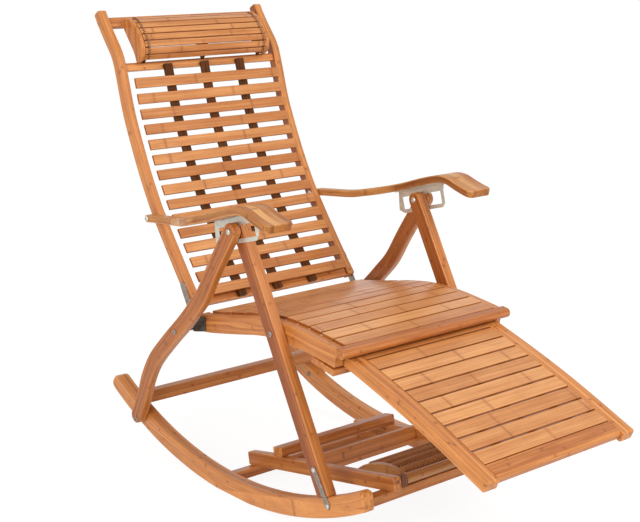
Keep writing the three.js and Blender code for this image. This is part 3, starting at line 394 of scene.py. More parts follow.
# Front legs
#
# Straight laminated bamboo bars that stand on the rockers and lean back to the armrests. Their
# feet are cut to the rocker's curve, their heads are rounded and both edges are eased.
LEG_TOP = np.array([-36.0, 605.0])
LEG_LEAN = 0.542
LEG_WIDTH = 35
LEG_INNER = 242
LEG_EDGE = 2.6
FOOT_GAP = 0.6
ROCKER_TOP_RADIUS = ROCKER_RADIUS - ROCKER_DEPTH


def rocker_top(y):
    """Height of the rocker's upper face: the arc's centre less the chord's drop."""
    return ROCKER_RADIUS - np.sqrt(ROCKER_TOP_RADIUS ** 2 - np.asarray(y, float) ** 2)


lean = np.arctan(LEG_LEAN)
leg_way = np.array([-np.sin(lean), -np.cos(lean)])
leg_across = np.array([np.cos(lean), -np.sin(lean)])
foot_out = np.linspace(-LEG_WIDTH / 2 + 1.2, LEG_WIDTH / 2 - 1.2, 9)
foot_down = np.full(9, 690.0)
for again in range(60):
    spots = LEG_TOP + foot_down[:, None] * leg_way + foot_out[:, None] * leg_across
    foot_down += spots[:, 1] - rocker_top(spots[:, 0]) - FOOT_GAP
half_turn = np.linspace(0, np.pi, 15)
half_leg = LEG_WIDTH / 2
shoulder = np.array([
    [foot_down[-1] - 3, half_leg], [foot_down[-1] / 2, half_leg], [70, half_leg], [30, half_leg - 0.2],
])
leg_plan = np.concatenate([
    np.stack([foot_down, foot_out], -1), shoulder,
    np.stack([-17 * np.sin(half_turn), 17 * np.cos(half_turn)], -1),
    (shoulder * [1, -1])[:0:-1], [[foot_down[0] - 3, -half_leg]],
])
leg_plan = stepped(leg_plan, 60)
leg_outline = LEG_TOP + leg_plan[:, :1] * leg_way + leg_plan[:, 1:] * leg_across
for side, sign in SIDES:
    low, high = sorted((sign * LEG_INNER, sign * LEG_OUTER))
    # Painted shade: both side faces of each leg are marked darker, the one at lower X more.
    leg = made(f"front_leg_wood_{side}", [(sawn(
        leg_outline, leg_plan, low, high, LEG_EDGE, shift=(1700 * sign, 3.6, 0), faces=(0.9, 0.6),
    ), 0.5 + 0.05 * sign, 0)], [pressed])
    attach(leg, "frame")
    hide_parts(f"front_leg_{side}")

# Rear legs
#
# Bent laminated legs that start outside the front legs' heads, sweep back in a slack S and end
# in a round foot beside the rocker. They are pressed in one piece and eased all round.
REAR_INNER = 269.3
REAR_OUTER = 289.3
REAR_FOOT = 345
REAR_LEG_HALF = 17.9


def bowed(start, end, rise, shares):
    """A smooth line through points given as shares of the chord and of the rise across it.

    Between two points p and q with slopes u and w, each half the step between a point's
    neighbours, it is p + u t + (3 (q - p) - 2 u - w) t^2 + (2 (p - q) + u + w) t^3.
    """
    start, end, shares = (np.asarray(v, float) for v in (start, end, shares))
    chord = end - start
    across = np.array([-chord[1], chord[0]]) / np.hypot(*chord)
    spots = start + shares[:, :1] * chord + shares[:, 1:] * rise * across
    slope = (np.concatenate([spots[1:], spots[-1:]]) - np.concatenate([spots[:1], spots[:-1]])) / 2
    t = np.linspace(0, 1, 40, endpoint=False)[None, :, None]
    p, q, u, w = spots[:-1, None], spots[1:, None], slope[:-1, None], slope[1:, None]
    line = p + u * t + (3 * (q - p) - 2 * u - w) * t ** 2 + (2 * (p - q) + u + w) * t ** 3
    line = np.concatenate([line.reshape(-1, 2), spots[-1:]])
    walked = np.concatenate([[0], np.cumsum(np.linalg.norm(np.diff(line, axis=0), axis=1))])
    return line, walked


def heading(curve, distance):
    """Unit directions of a curve at distances along it, from points 2 mm apart."""
    line, walked = curve
    at = lambda d: np.stack([np.interp(d, walked, line[:, 0]), np.interp(d, walked, line[:, 1])], -1)
    middle = np.clip(np.asarray(distance, float), 1, walked[-1] - 1)
    way = at(middle + 1) - at(middle - 1)
    return way / np.linalg.norm(way, axis=-1, keepdims=True)


def beside(curve, distance, offset=0.0):
    """Points at distances along a curve, moved to its left, and on straight past its ends."""
    line, walked = curve
    distance = np.asarray(distance, float)
    within = np.clip(distance, 0, walked[-1])
    spot = np.stack([np.interp(within, walked, line[:, 0]), np.interp(within, walked, line[:, 1])], -1)
    way = heading(curve, distance)
    left = np.stack([-way[..., 1], way[..., 0]], -1)
    return spot + way * (distance - within)[..., None] + left * np.asarray(offset, float)[..., None]


def lath(start, end, low, high, head, tail, step=16):
    """A strip's plan, [distance along, offset]: a rectangle with rounded ends."""
    plan = eased([[start, low], [end, low], [end, high], [start, high]], [head, tail, tail, head], 8)
    return stepped(plan, step)


rear_leg_shares = [
    [0, 0], [0.115, -0.09], [0.2, -0.19], [0.305, -0.38], [0.39, -0.18], [0.48, 0.11],
    [0.585, 0.56], [0.72, 1], [0.817, 0.86], [0.884, 0.48], [0.952, 0.14], [1, 0],
]
rear_foot = np.array([REAR_FOOT, rocker_top(REAR_FOOT) - 14.8])
rear_leg_curve = bowed(LEG_TOP, rear_foot, 29, rear_leg_shares)
rear_leg_plan = lath(-17, rear_leg_curve[1][-1] + 18, -REAR_LEG_HALF, REAR_LEG_HALF, 17, 17.8)
rear_leg_outline = beside(rear_leg_curve, rear_leg_plan[:, 0], rear_leg_plan[:, 1])
for side, sign in SIDES:
    low, high = sorted((sign * REAR_INNER, sign * REAR_OUTER))
    # Painted shade: both side faces of each rear leg are marked darker.
    leg = made(f"rear_leg_wood_{side}", [(sawn(
        rear_leg_outline, rear_leg_plan, low, high, LEG_EDGE, shift=(2600 * sign, 2.4, 1.5),
        faces=(0.6, 0.6),
    ), 0.4 - 0.04 * sign, 0)], [pressed])
    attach(leg, "frame")
    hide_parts(f"rear_leg_{side}")

# Bar between the rear legs
#
# A plain squared bar across the chair, screwed between the feet of the rear legs above the
# rockers. Its grain runs from side to side.
BAR_PLACE = 343
BAR_OVER_ROCKER = 28
BAR_HALF_SPAN = 269
bar_middle = np.array([BAR_PLACE, rocker_top(BAR_PLACE) + BAR_OVER_ROCKER])
bar_plan = eased([[-12, -14.5], [12, -14.5], [12, 14.5], [-12, 14.5]], 2.2)
cross_bar = made("rear_leg_bar_wood", [(sawn(
    bar_plan + bar_middle, bar_plan, -BAR_HALF_SPAN, BAR_HALF_SPAN, 1.4, lengthwise=False,
    shift=(500, 10.5, 16),
), 0.38, 0)], [pressed])
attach(cross_bar, "frame")
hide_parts("rear_leg_bar")

# Bolts of the leg frame
#
# Plated furniture bolts with low domed heads, sunk at the middle. The pair at the leg tops,
# which the slotted plates hang on, is bright. Those through the rear feet and the two studs
# that stop the seat are dull and brown with use.


def turned(rows, centre, sides=28, easing=0.5, shift=0.0):
    """A round piece on an axis along X. Rows are [x, radius], its corners eased, and a point at
    angle a is the centre moved by radius (cos a, sin a)."""
    rows = np.asarray(rows, float)
    profile = eased(np.concatenate([rows, [[rows[-1, 0], 0], [rows[0, 0], 0]]]), easing, 3)[:-8]
    angle = np.linspace(0, 2 * np.pi, sides, endpoint=False)
    x = np.broadcast_to(profile[:, :1], (len(profile), sides))
    y = profile[:, 1:] * np.cos(angle)
    z = profile[:, 1:] * np.sin(angle)
    points = np.stack([x, centre[0] + y, centre[1] + z], -1)
    worn = np.zeros(x.shape)
    worn[1:-1] = np.clip(0.12 * np.abs(profile[2:, 1:] + profile[:-2, 1:] - 2 * profile[1:-1, 1:]), 0, 1)
    return skin(points, np.stack([x + shift, y, z], -1), worn)


def domed(face, out, radius=6.4, rise=3.4):
    """Half of a bolt's profile from a face outwards: a rim, a dome and a socket sunk in it."""
    share = np.array([0.28, 0.55, 0.78, 0.93])
    dome = [[face + out * share_rise, reach] for share_rise, reach in zip(
        rise * np.sqrt(1 - (share * 0.94) ** 2), radius * share)]
    rim = [[face + out * rise * 0.28, radius], [face, radius]]
    socket = [[face + out * rise * 0.35, radius * 0.2], [face + out * rise * 0.35, radius * 0.27]]
    return socket + dome + rim


def plated(name, colour, shadow, metal, rough, scratch, depth):
    """Sheet or turned steel. A cellular noise mixes the zinc's two greys in flakes, and a noise
    drawn out front to back gives the rolling marks."""
    finish = bpy.data.materials.new(name)
    finish.use_nodes = True
    tree = finish.node_tree
    node = functools.partial(Channel.node, tree)
    place = node("ShaderNodeTexCoord", {}, {}, "Object")
    stretched = node("ShaderNodeMapping", {}, {"Vector": place, "Scale": (900, 60, 900)})
    marks = node("ShaderNodeTexNoise", {}, {"Vector": stretched, "Scale": 1.0, "Detail": 3.0}, "Fac")
    flakes = node("ShaderNodeTexVoronoi", {}, {"Vector": place, "Scale": 260.0}, "Color")
    flake = node("ShaderNodeSeparateColor", {}, {0: flakes})
    stain = node("ShaderNodeTexNoise", {}, {"Vector": place, "Scale": 38.0, "Detail": 4.0}, "Fac")
    shade = (0.5 + (marks - 0.5) * scratch + (flake - 0.5) * 0.4 + (stain - 0.5) * 0.9).held()
    colour_mix = node("ShaderNodeMix", {"data_type": "RGBA"}, {
        "Factor_Float": shade, "A_Color": shadow, "B_Color": colour,
    }, "Result_Color")
    surface = tree.nodes["Principled BSDF"]
    bump = node("ShaderNodeBump", {}, {"Strength": 0.2, "Distance": depth, "Height": marks + stain})
    tree.links.new(colour_mix.socket, surface.inputs["Base Color"])
    tree.links.new((rough + (marks - 0.5) * 0.25 + (stain - 0.5) * 0.2).socket, surface.inputs["Roughness"])
    tree.links.new(bump.socket, surface.inputs["Normal"])
    surface.inputs["Metallic"].default_value = metal
    return finish


zinc = plated("zinc_plate", (0.74, 0.74, 0.67, 1), (0.5, 0.5, 0.43, 1), 0.75, 0.38, 0.5, 0.00006)
blackened = plated(
    "blackened_steel", (0.2, 0.17, 0.15, 1), (0.07, 0.055, 0.045, 1), 0.6, 0.42, 0.4, 0.00008)
worn_zinc = plated(
    "worn_zinc", (0.4, 0.33, 0.28, 1), (0.15, 0.11, 0.085, 1), 0.6, 0.45, 0.7, 0.0001)


def bolt(inner, outer, sign, centre, waist=()):
    """A bolt from an inner to an outer face, headed at both ends, in mirrored X for the right."""
    rows = domed(inner, -1) + [[inner, 3]] + list(waist) + [[outer, 3]] + domed(outer, 1)[::-1]
    rows = np.array(rows) * [sign, 1]
    return turned(rows, centre, easing=0.25)


FIT = 0.3
REAR_BOLT = 339
rear_bolt = np.array([REAR_BOLT, rocker_top(REAR_BOLT) - 19.3])
rear_stud = np.array([172.0, 342.0])
for side, sign in SIDES:
    top_bolt = made(f"leg_top_bolt_steel_{side}", [
        (bolt(LEG_INNER - FIT, REAR_OUTER + FIT, sign, LEG_TOP), 0.5, 0)], [zinc])
    spacer = [[LEG_OUTER + FIT, 3], [LEG_OUTER + FIT, 6.4], [REAR_INNER - FIT, 6.4], [REAR_INNER - FIT, 3]]
    foot_bolt = made(f"rear_leg_bolt_steel_{side}", [
        (bolt(ROCKER_INNER - FIT, REAR_OUTER + FIT, sign, rear_bolt, spacer), 0.5, 0)], [worn_zinc])
    stud_rows = [[LEG_INNER, 4], [REAR_OUTER + FIT, 4]] + domed(REAR_OUTER + FIT, 1, rise=3.1)[::-1]
    stud = made(f"seat_stop_stud_steel_{side}", [
        (turned(np.array(stud_rows) * [sign, 1], rear_stud, easing=0.25), 0.5, 0)], [worn_zinc])
    for piece, node_name in (
        (top_bolt, "leg_top_bolt"), (foot_bolt, "rear_leg_bolt"), (stud, "seat_stop_stud"),
    ):
        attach(piece, "frame")
        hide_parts(f"{node_name}_{side}")

# Straps
#
# Flat steel straps, punched from strip and gone brown, that tie each front leg to the rocker
# on its outer side. A bright domed screw holds each end.
STRAP_TOP = 150
STRAP_FOOT = -328
STRAP_INNER = 267.3
STRAP_OUTER = 269.3
SCREW_FACE = 269.2
strap_top = LEG_TOP + (LEG_TOP[1] - STRAP_TOP) / np.cos(lean) * leg_way - 1.75 * leg_across
strap_foot = np.array([STRAP_FOOT, rocker_top(STRAP_FOOT) - ROCKER_DEPTH * 0.45])
strap_length = np.hypot(*(strap_foot - strap_top))
strap_line = bowed(strap_top, strap_foot, 1, [[0, 0], [0.5, 0], [1, 0]])
strap_plan = stepped(eased([
    [-7, -6.5], [-7, 6.5], [strap_length - 12, 6.9], [strap_length - 2, 8.6], [strap_length + 9, 0],
    [strap_length - 2, -8.6], [strap_length - 12, -6.9],
], [4, 4, 20, 2, 2, 2, 20]), 16)
for side, sign in SIDES:
    low, high = sorted((sign * STRAP_INNER, sign * STRAP_OUTER))
    plate = sawn(beside(strap_line, strap_plan[:, 0], strap_plan[:, 1]), strap_plan, low, high, 0.5)
    screws = []
    for inner, place in ((250.4, strap_top), (247.7, strap_foot)):
        screw_rows = [[inner, 3], [SCREW_FACE, 3]] + domed(SCREW_FACE, 1, 4.5, 1.9)[::-1]
        screws.append(turned(np.array(screw_rows) * [sign, 1], place, easing=0.2))
    strap = made(f"rocker_strap_steel_{side}", [(plate, 0.5, 0)] + [(s, 0.5, 1) for s in screws],
                 [worn_zinc, zinc])
    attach(strap, "frame")
    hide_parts(f"rocker_strap_{side}")

# Base beams and bars
#
# The base between the rockers: two squared beams that fall to the rear, tied by a bar under
# each end and one over them, and a board on edge between them. All are sawn from one stock.
BEAM_INNER = 150
BEAM_OUTER = 170
BEAM_DEPTH = 30
BEAM_REAR = 61
BEAM_FRONT = -420
beam_rear = np.array([BEAM_REAR, rocker_top(BEAM_REAR) - 13.6])
beam_front = np.array([BEAM_FRONT, rocker_top(BEAM_FRONT) - 29.6])
beam_length = np.hypot(*(beam_front - beam_rear))
beam_ahead = (beam_front - beam_rear) / beam_length
beam_up = np.array([beam_ahead[1], -beam_ahead[0]])


def on_beam(plan):
    """Side-view points from [distance ahead of the beam's rear end, height over its underside]."""
    plan = np.asarray(plan, float)
    return beam_rear + plan[..., :1] * beam_ahead + plan[..., 1:] * beam_up


beam_plan = eased([
    [0, 0], [beam_length, 0], [beam_length, BEAM_DEPTH], [beam_length * 0.25, BEAM_DEPTH],
    [beam_length * 0.17, BEAM_DEPTH + 2], [0, BEAM_DEPTH],
], [2, 2, 3, 30, 30, 4])
for side, sign in SIDES:
    low, high = sorted((sign * BEAM_INNER, sign * BEAM_OUTER))
    beam = made(f"base_beam_wood_{side}", [(sawn(
        on_beam(beam_plan), beam_plan, low, high, 2, shift=(800 * sign, 2.2, 7),
    ), 0.44 + 0.06 * sign, 0)], [pressed])
    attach(beam, "frame")
    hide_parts(f"base_beam_{side}")
between_rockers = ROCKER_INNER - FIT
cross_bars = (
    ("base_rear_bar", [[4, -20.3], [34, -20.3], [34, -0.3], [4, -0.3]], between_rockers, 0.3),
    ("base_front_bar", [[beam_length - 48, -20.3], [beam_length - 18, -20.3],
                        [beam_length - 18, -0.3], [beam_length - 48, -0.3]], between_rockers, 0.35),
    ("base_upper_bar", [[98, 32], [128, 30.3], [128, 52], [98, 52]], BEAM_OUTER, 0.3),
    ("base_cross_board", [[206, -2], [220, -2], [220, 38], [206, 38]], BEAM_INNER - FIT, 0.52),
)
for number, (name, corners, half_span, tone) in enumerate(cross_bars):
    plan = eased(corners, 2.2)
    bar = made(f"{name}_wood", [(sawn(
        on_beam(plan), plan, -half_span, half_span, 1.6, lengthwise=False,
        shift=(700 * number, 3.1 * number, 0),
    ), tone, 0)], [pressed])
    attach(bar, "frame")
    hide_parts(name)

# Foot massager
#
# Two low arched cheeks stand between the beams and carry four turned rollers with close-set
# ridges. A round bar, wound with cord near its ends, closes the front of the base.
CHEEK_OUTER = 115.7
CHEEK_THICKNESS = 16
CHEEK_LENGTH = 150
CHEEK_HEIGHT = 34
ROLLERS = 4
ROLLER_PITCH = 31
ROLLER_RADIUS = 13
RIDGE_DEPTH = 2.6
RIDGES = 25
BAR_RADIUS = 11
WINDING_PLACE = 137.7
CORD_WIDTH = 2.1
cheek_start = beam_length - 4 - CHEEK_LENGTH - 2 * BAR_RADIUS
cheek_shares = np.array([
    [0, 0], [1, 0], [1, 0.42], [0.86, 0.72], [0.68, 0.92], [0.5, 1], [0.32, 0.92], [0.14, 0.72],
    [0, 0.42],
])
cheek_plan = eased(cheek_shares * [CHEEK_LENGTH, CHEEK_HEIGHT] + [cheek_start, 0],
                   [2, 2, 6, 14, 14, 14, 14, 14, 6])
pale_bamboo = lacquered(
    "pale_bamboo", (0.62, 0.3, 0.1, 1), (0.36, 0.13, 0.03, 1), (0.22, 0.07, 0.014, 1),
    strip=9, layer=20,
)
for side, sign in SIDES:
    low, high = sorted((sign * (CHEEK_OUTER - CHEEK_THICKNESS), sign * CHEEK_OUTER))
    cheek = made(f"massager_cheek_wood_{side}", [(sawn(
        on_beam(cheek_plan), cheek_plan, low, high, 2, shift=(50 * sign, 0, 3),
    ), 0.6, 0)], [pale_bamboo])
    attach(cheek, "frame")
    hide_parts(f"massager_cheek_{side}")
# A very dark brown bamboo with a thin coat, for the battens, the footrest glides and the pillow ribs.
dark_bamboo = lacquered(
    "dark_brown_bamboo", (0.14, 0.043, 0.008, 1), (0.05, 0.015, 0.003, 1), (0.03, 0.009, 0.002, 1),
    strip=6, layer=15, gloss=0.5, coat=0.04,
)
smoked = lacquered(
    "smoked_bamboo", (0.42, 0.17, 0.055, 1), (0.22, 0.075, 0.02, 1), (0.1, 0.03, 0.008, 1),
    strip=6, layer=15, gloss=0.5, coat=0.08,
)
roller_half = CHEEK_OUTER - CHEEK_THICKNESS - 1
ridge = np.linspace(-roller_half, roller_half, RIDGES * 8 + 1)
ridge_height = ROLLER_RADIUS - RIDGE_DEPTH + RIDGE_DEPTH * np.sqrt(np.abs(np.sin(
    np.pi * RIDGES * (ridge + roller_half) / (2 * roller_half))))
for number in range(ROLLERS):
    place = number - (ROLLERS - 1) / 2
    rise = CHEEK_HEIGHT * (0.62 - 0.1 * abs(place))
    axle = on_beam([cheek_start + CHEEK_LENGTH / 2 + place * ROLLER_PITCH, rise])
    rows = np.concatenate([
        [[2 - CHEEK_OUTER, 4], [-roller_half - 0.01, 4]], np.stack([ridge, ridge_height], -1),
        [[roller_half + 0.01, 4], [CHEEK_OUTER - 2, 4]],
    ])
    roller = made(f"massage_roller_wood_{number + 1}", [
        (turned(rows, axle, sides=20, easing=0.004, shift=300 * number), 0.62, 0)], [smoked])
    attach(roller, f"roller_{number + 1}")
    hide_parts(f"massage_roller_{number + 1}")


def wound(name, colour, shadow, pitch):
    """Waxed cord: a sine of the distance along the strand less its turn round it shades the
    twist, at the given pitch, and a noise breaks it up."""
    finish = bpy.data.materials.new(name)
    finish.use_nodes = True
    tree = finish.node_tree
    node = functools.partial(Channel.node, tree)
    grain = node("ShaderNodeAttribute", {"attribute_name": "grain"}, {}, "Vector")
    along = node("ShaderNodeSeparateXYZ", {}, {0: grain})
    angle = along.also(1)
    twist = along / pitch * 6.2832 + angle * 2
    strand = twist.math("SINE", twist) * 0.5 + 0.5
    fuzz = node("ShaderNodeTexNoise", {}, {"Vector": grain, "Scale": 0.9, "Detail": 3.0}, "Fac")
    shade = (strand * 0.7 + (fuzz - 0.5) * 0.8 + 0.15).held()
    colour_mix = node("ShaderNodeMix", {"data_type": "RGBA"}, {
        "Factor_Float": shade, "A_Color": shadow, "B_Color": colour,
    }, "Result_Color")
    surface = tree.nodes["Principled BSDF"]
    bump = node("ShaderNodeBump", {}, {"Strength": 0.6, "Distance": 0.0003, "Height": strand + fuzz * 0.4})
    tree.links.new(colour_mix.socket, surface.inputs["Base Color"])
    tree.links.new((0.55 + (fuzz - 0.5) * 0.3).socket, surface.inputs["Roughness"])
    tree.links.new(bump.socket, surface.inputs["Normal"])
    return finish


cord_brown = wound("waxed_cord", (0.34, 0.13, 0.045, 1), (0.1, 0.032, 0.01, 1), 3.2)
bar_line = np.array([[FIT - BEAM_INNER, BAR_RADIUS], [BEAM_INNER - FIT, BAR_RADIUS]])
bar_centre = on_beam([beam_length - 4 - BAR_RADIUS, BEAM_DEPTH / 2])
winding = []
for start in (-1, 1):
    for turn in range(-4, 5):
        middle = start * WINDING_PLACE + turn * CORD_WIDTH
        coil = np.array([[-CORD_WIDTH / 2, 0], [-0.75, 1.4], [0, 2.2], [0.75, 1.4], [CORD_WIDTH / 2, 0]])
        coil += [middle, BAR_RADIUS]
        winding.append((turned(coil, bar_centre, sides=24, easing=0.1), 0.5, 1))
front_bar = made("massager_front_bar_wood", [
    (turned(bar_line, bar_centre, easing=1.5), 0.4, 0)] + winding, [pale_bamboo, cord_brown])
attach(front_bar, "frame")
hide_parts("massager_front_bar")

# Seat rails and nose bar
#
# Two arched rails, pressed to shape, hang on the front legs' bolts. A half-round bar across
# their front ends covers the ends of the battens.
RAIL_INNER = 217
SEAT_RAIL_OUTER = 241
SEAT_RAIL_DEPTH = 40
seat_shares = [
    [0, 0], [0.06, 0.02], [0.19, 0.3], [0.32, 0.62], [0.46, 0.95], [0.6, 1.02], [0.75, 0.78],
    [0.88, 0.4], [1, 0],
]
seat_curve = bowed([142, 383], [-321, 408], -27, seat_shares)
seat_length = seat_curve[1][-1]
seat_plan = lath(0, seat_length, 0.1, SEAT_RAIL_DEPTH - 0.1, 4, 3)
for side, sign in SIDES:
    low, high = sorted((sign * RAIL_INNER, sign * SEAT_RAIL_OUTER))
    rail = made(f"seat_rail_wood_{side}", [(sawn(
        beside(seat_curve, seat_plan[:, 0], seat_plan[:, 1]), seat_plan, low, high, 2.4,
        shift=(3300 * sign, 5, 2),
    ), 0.5 + 0.06 * sign, 0)], [pressed])
    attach(rail, "seat")
    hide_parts(f"seat_rail_{side}")
nose_plan = eased([[0.3, -5], [24.2, -5], [24.2, 16], [0.3, 16]], [1.5, 10, 10.5, 1.5], 6)
nose = made("seat_nose_bar_wood", [(sawn(
    beside(seat_curve, seat_length + nose_plan[:, 0], nose_plan[:, 1]), nose_plan,
    -SEAT_RAIL_OUTER, SEAT_RAIL_OUTER, 1.4, lengthwise=False, shift=(120, 4, 0),
), 0.05, 0)], [pressed])
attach(nose, "seat")
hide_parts("seat_nose_bar")

# Seat slats
#
# Twelve flat slats of whole bamboo, planed and eased, nailed close together on three very dark battens that
# follow the arch. Each slat is cut from its own cane, so its shade and knots differ.
slatted = lacquered(
    "slat_bamboo", (0.76, 0.35, 0.12, 1), (0.45, 0.145, 0.03, 1), (0.28, 0.075, 0.014, 1),
    strip=90, layer=40, knots=230, uneven=0.5, gloss=0.37,
)
BATTEN_PLACE = 105
BATTEN_HALF = 10.5


def squared(curve, middle, width, low, high, easing):
    """A bar's outline at a distance along a curve, and its plan: a rounded rectangle turned to
    the curve's direction at its middle."""
    half = width / 2
    plan = eased([[-half, low], [half, low], [half, high], [-half, high]], easing)
    way = heading(curve, middle)
    left = np.array([-way[1], way[0]])
    return beside(curve, middle) + plan[:, :1] * way + plan[:, 1:] * left, plan


def mat(seed, curve, first, pitch, count, width, face, inward, thickness, half_span, batten, tones):
    """Slats set square to a curve, pitch apart, on three battens. The slats' faces lie at the
    offset face, and inward is 1 or -1 towards the battens, which run from batten[0] to batten[1]
    along the curve, batten[2] deep. Each slat has its own shade, wood and length by chance, and its ends
    and long edges are darkened with painted shade, as in the gaps between slats."""
    chance = np.random.default_rng(seed)
    parts = []
    for number in range(count):
        far, near = sorted((face, face + inward * thickness))
        outline, plan = squared(curve, first + number * pitch, width, far, near, 2)
        tone = chance.uniform(*tones)
        shift = (chance.uniform(0, 3000), 45, 20)
        short = chance.uniform(0, 0.6)
        # Painted shade: each slat's ends and long edges are marked dark, for the gaps between the slats.
        parts.append((sawn(outline, plan, short - half_span, half_span - short, 1.1,
                           lengthwise=False, shift=shift, faces=(0.7, 0.7), painted_flank_shade=0.9), tone, 0))
    start, end, depth = batten
    under = face + inward * (thickness - 0.6)
    low, high = sorted((under, under + inward * (depth + 0.6)))
    plan = lath(start, end, low, high, 1.5, 1.5)
    for place in (-BATTEN_PLACE, 0, BATTEN_PLACE):
        batten_wood = (chance.uniform(0, 900), 0, 0)
        parts.append((sawn(beside(curve, plan[:, 0], plan[:, 1]), plan, place - BATTEN_HALF,
                           place + BATTEN_HALF, 1, shift=batten_wood), 0.5, 1))
    return parts


SEAT_SLATS = 12
SEAT_PITCH = 38
seat_first = seat_length - (SEAT_SLATS - 0.5) * SEAT_PITCH
seat_mat = made("seat_slats_wood", mat(
    31, seat_curve, seat_first, SEAT_PITCH, SEAT_SLATS, 34.6, -5, 1, 8, RAIL_INNER - 1,
    (seat_first - 11.5, seat_length - 0.2, 6), tones=(0.3, 0.85)), [slatted, dark_bamboo])
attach(seat_mat, "seat")
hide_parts("seat_slats")

# Seat pivots and hinge steel
#
# Bolts carry the seat rails on the front legs. Hook plates, cut from blackened sheet, rest on
# the rear legs' studs, and a pin joins each to the dull plated hinge plate on the back rail.
PIN_INNER = 238
PIN_OUTER = 243.6
seat_pivot = np.array([-144.4, 405.0])
seat_hinge = np.array([165.0, 362.0])
for side, sign in SIDES:
    pivot = made(f"seat_pivot_bolt_steel_{side}", [
        (bolt(RAIL_INNER - FIT, LEG_OUTER + FIT, sign, seat_pivot), 0.5, 0)], [worn_zinc])
    pin = made(f"hinge_pin_steel_{side}", [
        (bolt(PIN_INNER, PIN_OUTER, sign, seat_hinge), 0.5, 0)], [zinc])
    for piece, node_name in ((pivot, "seat_pivot_bolt"), (pin, "hinge_pin")):
        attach(piece, "seat")
        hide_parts(f"{node_name}_{side}")
    for plate_name, finish in (("seat_hook_plate", blackened), ("back_hinge_plate", worn_zinc)):
        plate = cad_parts[f"{plate_name}_{side}"]
        plate.data.materials.clear()
        plate.data.materials.append(finish)

# Back rails and cross bars
#
# Two long rails bent in a slack S, with their upper ends swept forward behind the head, and
# three bars let in between them, all from the same pressed bamboo.
BACK_RAIL_OUTER = 238
BACK_RAIL_DEPTH = 24
back_shares = [
    [0, 0], [0.083, -0.31], [0.215, -0.7], [0.303, -0.92], [0.362, -1], [0.471, -0.96],
    [0.595, -0.7], [0.67, -0.44], [0.753, 0.04], [0.813, 0.35], [0.85, 0.4], [0.907, 0.2],
    [0.967, 0.02], [1, 0],
]
back_foot = np.array([161.0, 396.0])
back_top = back_foot + [368, 635]
back_curve = bowed(back_foot, back_top, 31, back_shares)
back_length = back_curve[1][-1]
back_stretch = back_length / np.hypot(*(back_top - back_foot))
back_plan = lath(0, back_length, -BACK_RAIL_DEPTH + 0.1, -0.1, 3, 5)
for side, sign in SIDES:
    low, high = sorted((sign * RAIL_INNER, sign * BACK_RAIL_OUTER))
    # Painted shade: the inner face of each rail is marked dark.
    rail = made(f"back_rail_wood_{side}", [(sawn(
        beside(back_curve, back_plan[:, 0], back_plan[:, 1]), back_plan, low, high, LEG_EDGE,
        shift=(4200 * sign, 1.4, 6), faces=(0.9 if sign > 0 else 0, 0.9 if sign < 0 else 0),
    ), 0.5 + 0.05 * sign, 0)], [pressed])
    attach(rail, "backrest")
    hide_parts(f"back_rail_{side}")


for number, (name, start, height) in enumerate((
    ("back_bottom_bar", 1.2, 22), ("back_second_bar", 574, 19), ("back_top_bar", 693, 25),
)):
    outline, plan = squared(back_curve, start * back_stretch + height / 2, height, -20, -6, 2.4)
    bar = made(f"{name}_wood", [(sawn(
        outline, plan, FIT - RAIL_INNER, RAIL_INNER - FIT, 0.8, lengthwise=False,
        shift=(333 * number, 10.8 * number, 7),
    ), 0.52, 0)], [pressed])
    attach(bar, "backrest")
    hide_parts(name)

# Back slats
#
# Fifteen narrower slats with gaps between them, nailed to three very dark battens that run up behind them
# to the second cross bar.
BACK_SLATS = 15
BACK_PITCH = 37.2
back_mat = made("back_slats_wood", mat(
    12, back_curve, 26 * back_stretch, BACK_PITCH, BACK_SLATS, 24.5, 12, -1, 7, 209,
    (1.3, 583.5 * back_stretch, 10), tones=(0.1, 0.65)), [slatted, dark_bamboo])
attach(back_mat, "backrest")
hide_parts("back_slats")

# Head pillow
#
# Two D-shaped end boards stand on the back's upper bars, with eight slats bent over the ribs
# between them. A waxed cord runs down beside each board in close waves.
PILLOW_START = 588
PILLOW_HEIGHT = 112
PILLOW_HALF = 186
PILLOW_BOARD = 9
PILLOW_SLATS = 8
RIB_PLACE = 168
LACE_PITCH = 5.6
pillow_shares = [
    [0, 0.3], [0.05, 0.62], [0.18, 0.9], [0.36, 1], [0.58, 0.98], [0.78, 0.86], [0.93, 0.6],
    [1, 0.34],
]
pillow_curve = bowed(
    beside(back_curve, PILLOW_START * back_stretch),
    beside(back_curve, (PILLOW_START + PILLOW_HEIGHT) * back_stretch), 44, pillow_shares)
pillow_length = pillow_curve[1][-1]


def bulged(inset, ends):
    """The end board's outline: the pillow's face moved inwards by inset, then the line of the
    back's bars, with both sharp corners cut off by 1.4 mm."""
    face = beside(pillow_curve, np.linspace(ends, pillow_length - ends, 40), -inset)
    places = np.linspace(PILLOW_START + PILLOW_HEIGHT - 1, PILLOW_START + 1, 14) * back_stretch
    base = beside(back_curve, places, -5.7)
    toward = lambda a, b: a + (b - a) * 1.4 / np.linalg.norm(b - a)
    upper = toward(face[-1], base[0]), toward(base[0], face[-1])
    lower = toward(base[-1], face[0]), toward(face[0], base[-1])
    return np.concatenate([face[1:-1], upper, base[1:-1], lower])


board_outline = bulged(0, 0)
for side, sign in SIDES:
    low, high = sorted((sign * (PILLOW_HALF - PILLOW_BOARD), sign * PILLOW_HALF))
    board = made(f"pillow_board_wood_{side}", [(sawn(
        board_outline, board_outline[:, ::-1] - [900, 450], low, high, 1.6, shift=(250 * sign, 3, 0),
    ), 0.42, 0)], [pressed])
    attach(board, "backrest")
    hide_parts(f"pillow_board_{side}")


